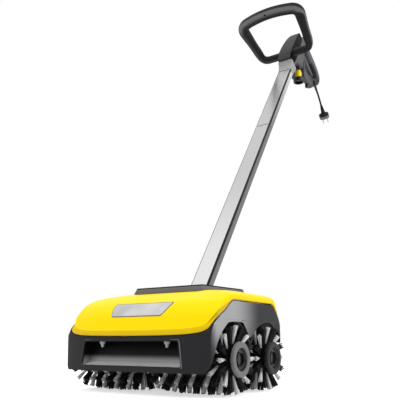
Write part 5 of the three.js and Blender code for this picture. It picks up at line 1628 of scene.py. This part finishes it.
class PatioCleanerColours(bpy.types.PropertyGroup):
    """Colours of the visible pieces."""

    hood: colour("Hood", "Yellow of the hood and the valve knob", (0.92, 0.66, 0.002))
    # Painted shade: the band is the hood's yellow plastic, darker where its lip faces down.
    band: colour("Hood Band", "Deeper yellow of the hood's lower band", (0.68, 0.46, 0.003))
    housing: colour("Housing", "Black of the lower housing", PAINTS["black_plastic"])
    # Painted sheen: this grey stands for the right lamp's light on the black side panels.
    painted_sheen_grey: colour("Side Panels, Front", "Grey of the sides near the front", (0.37, 0.37, 0.38))
    # The dark grey that the painted sheen fades to, towards the rear and below the crease.
    panel: colour("Side Panels, Rear", "Dark grey of the sides near the rear", (0.022, 0.022, 0.024))
    recess: colour("Recess", "Grey of the ramp in the front recess", (0.5, 0.5, 0.51))
    grip: colour("Grip", "Dark grey of the rear grip and its trigger", PAINTS["grey_plastic"])
    tube: colour("Tube", "Aluminium of the tube's front and back", (0.6, 0.6, 0.61))
    # Painted reflection: the brighter front near the foot.
    tube_foot: colour("Tube Foot", "Brighter aluminium at the tube's foot", (0.8, 0.8, 0.81))
    # Painted reflection: the sides are the same aluminium, painted darker.
    tube_side: colour("Tube Sides", "Darker aluminium of the tube's sides", (0.17, 0.17, 0.175))
    dark_tuft: colour("Dark Tufts", "Black of the thick bristles", PAINTS["bristle_nylon"])
    light_tuft: colour("Light Tufts", "Grey of the fine bristles", (0.85, 0.85, 0.86))


class PatioCleanerBristles(bpy.types.PropertyGroup):
    """Counts that set how full the rollers look."""

    tufts_around: count("Tufts Around", "Tufts round each row of a roller", 16, 8, 24)
    dark_strands: count("Dark Strands", "Strands in a dark tuft", 12, 3, 14)
    light_strands: count("Light Strands", "Strands in a light tuft", 11, 3, 14)


class PatioCleanerStage(bpy.types.PropertyGroup):
    """Light levels and the camera's lens."""

    world_level: level("World Level", "Strength of the world as a light", 0.5)
    floor_glow: level("Floor Glow", "How much the floor shines by itself", 0.6)
    right_light: power("Right Light", "Power of the lamp on the right", 45)
    front_light: power("Front Light", "Power of the lamp in front", 45)
    top_light: power("Top Light", "Power of the lamp above", 55)
    lens: FloatProperty(name="Lens", description="Focal length of the camera", default=49.0805, min=1,
                        subtype="DISTANCE_CAMERA", unit="CAMERA")


GROUPS = {"patio_cleaner_sizes": PatioCleanerSizes, "patio_cleaner_colours": PatioCleanerColours,
          "patio_cleaner_bristles": PatioCleanerBristles, "patio_cleaner_stage": PatioCleanerStage}
SIZES, COLOURS, BRISTLES, STAGE = GROUPS


# Operators

def operator(idname, label, text, build, *holders):
    """An operator class that runs one building function with the groups of settings that it needs."""

    def execute(self, context):
        build(*[getattr(context.scene, holder) for holder in holders])
        return {"FINISHED"}

    return type(f"PATIO_CLEANER_OT_{idname}", (bpy.types.Operator,), {
        "bl_idname": f"patio_cleaner.{idname}", "bl_label": label, "bl_options": {"REGISTER", "UNDO"},
        "__doc__": text, "execute": execute,
    })


OPERATORS = [
    operator("stage", "Stage", "Adds the floor, the lights and the camera", make_stage, STAGE),
    operator("finishes", "Finishes", "Makes the finishes of all pieces", make_finishes, COLOURS),
    operator("lead", "Mains Lead", "Makes the strain relief, the cord and its plug", make_lead),
    operator("hood", "Hood", "Makes the yellow hood", make_hood, SIZES),
    operator("housing", "Housing", "Makes the lower housing with its front recess", make_housing),
    operator("deck", "Deck", "Makes the deck plate and its screws", make_deck),
    operator("badge", "Badge Plate", "Makes the bare plate on the hood", make_badge),
    operator("nozzles", "Nozzles", "Makes the two spray nozzles", make_nozzles),
    operator("bristles", "Bristles", "Makes both rollers' tufts and sleeves", make_bristles, SIZES,
             BRISTLES),
    operator("hubs", "Hubs", "Makes the rollers' end rings", make_hubs, SIZES),
    operator("tube", "Tube", "Makes the two lengths of tube", make_tube),
    operator("collar", "Collar", "Makes the collar at the tube's top", make_collar),
    operator("cover", "Cover", "Makes the cover in front of the grip", make_cover),
    operator("grip", "Grip", "Makes the grip's halves and its soft part", make_grip),
    operator("trigger", "Trigger", "Makes the trigger lever", make_trigger),
    operator("loop", "Front Loop", "Makes the front loop", make_loop, SIZES),
    operator("valve", "Valve", "Makes the valve, its knob and the hose coupling", make_valve),
    operator("hook", "Lead Hook", "Makes the hook for the lead", make_hook),
    operator("inner_parts", "Inner Parts", "Gives the inner parts their finishes", dress_inner_parts),
]


class PATIO_CLEANER_PT_panel(bpy.types.Panel):
    """Lists the settings and the pieces of the patio cleaner."""

    bl_label = "Patio Cleaner"
    bl_idname = "PATIO_CLEANER_PT_panel"
    bl_space_type = "VIEW_3D"
    bl_region_type = "UI"
    bl_category = "Patio Cleaner"

    def draw(self, context):
        for holder in GROUPS:
            settings = getattr(context.scene, holder)
            for prop in settings.bl_rna.properties:
                if prop.identifier not in ("rna_type", "name"):
                    self.layout.prop(settings, prop.identifier)
        for made_operator in OPERATORS:
            self.layout.operator(made_operator.bl_idname)


def register():
    for item in (*GROUPS.values(), *OPERATORS, PATIO_CLEANER_PT_panel):
        bpy.utils.register_class(item)
    for holder, group in GROUPS.items():
        setattr(bpy.types.Scene, holder, PointerProperty(type=group))


def unregister():
    for holder in GROUPS:
        delattr(bpy.types.Scene, holder)
    for item in reversed((*GROUPS.values(), *OPERATORS, PATIO_CLEANER_PT_panel)):
        bpy.utils.unregister_class(item)


def main():
    register()
    for made_operator in OPERATORS:
        getattr(bpy.ops.patio_cleaner, made_operator.bl_idname.split(".")[1])()
    clear_selection()


if __name__ == "__main__":
    main()
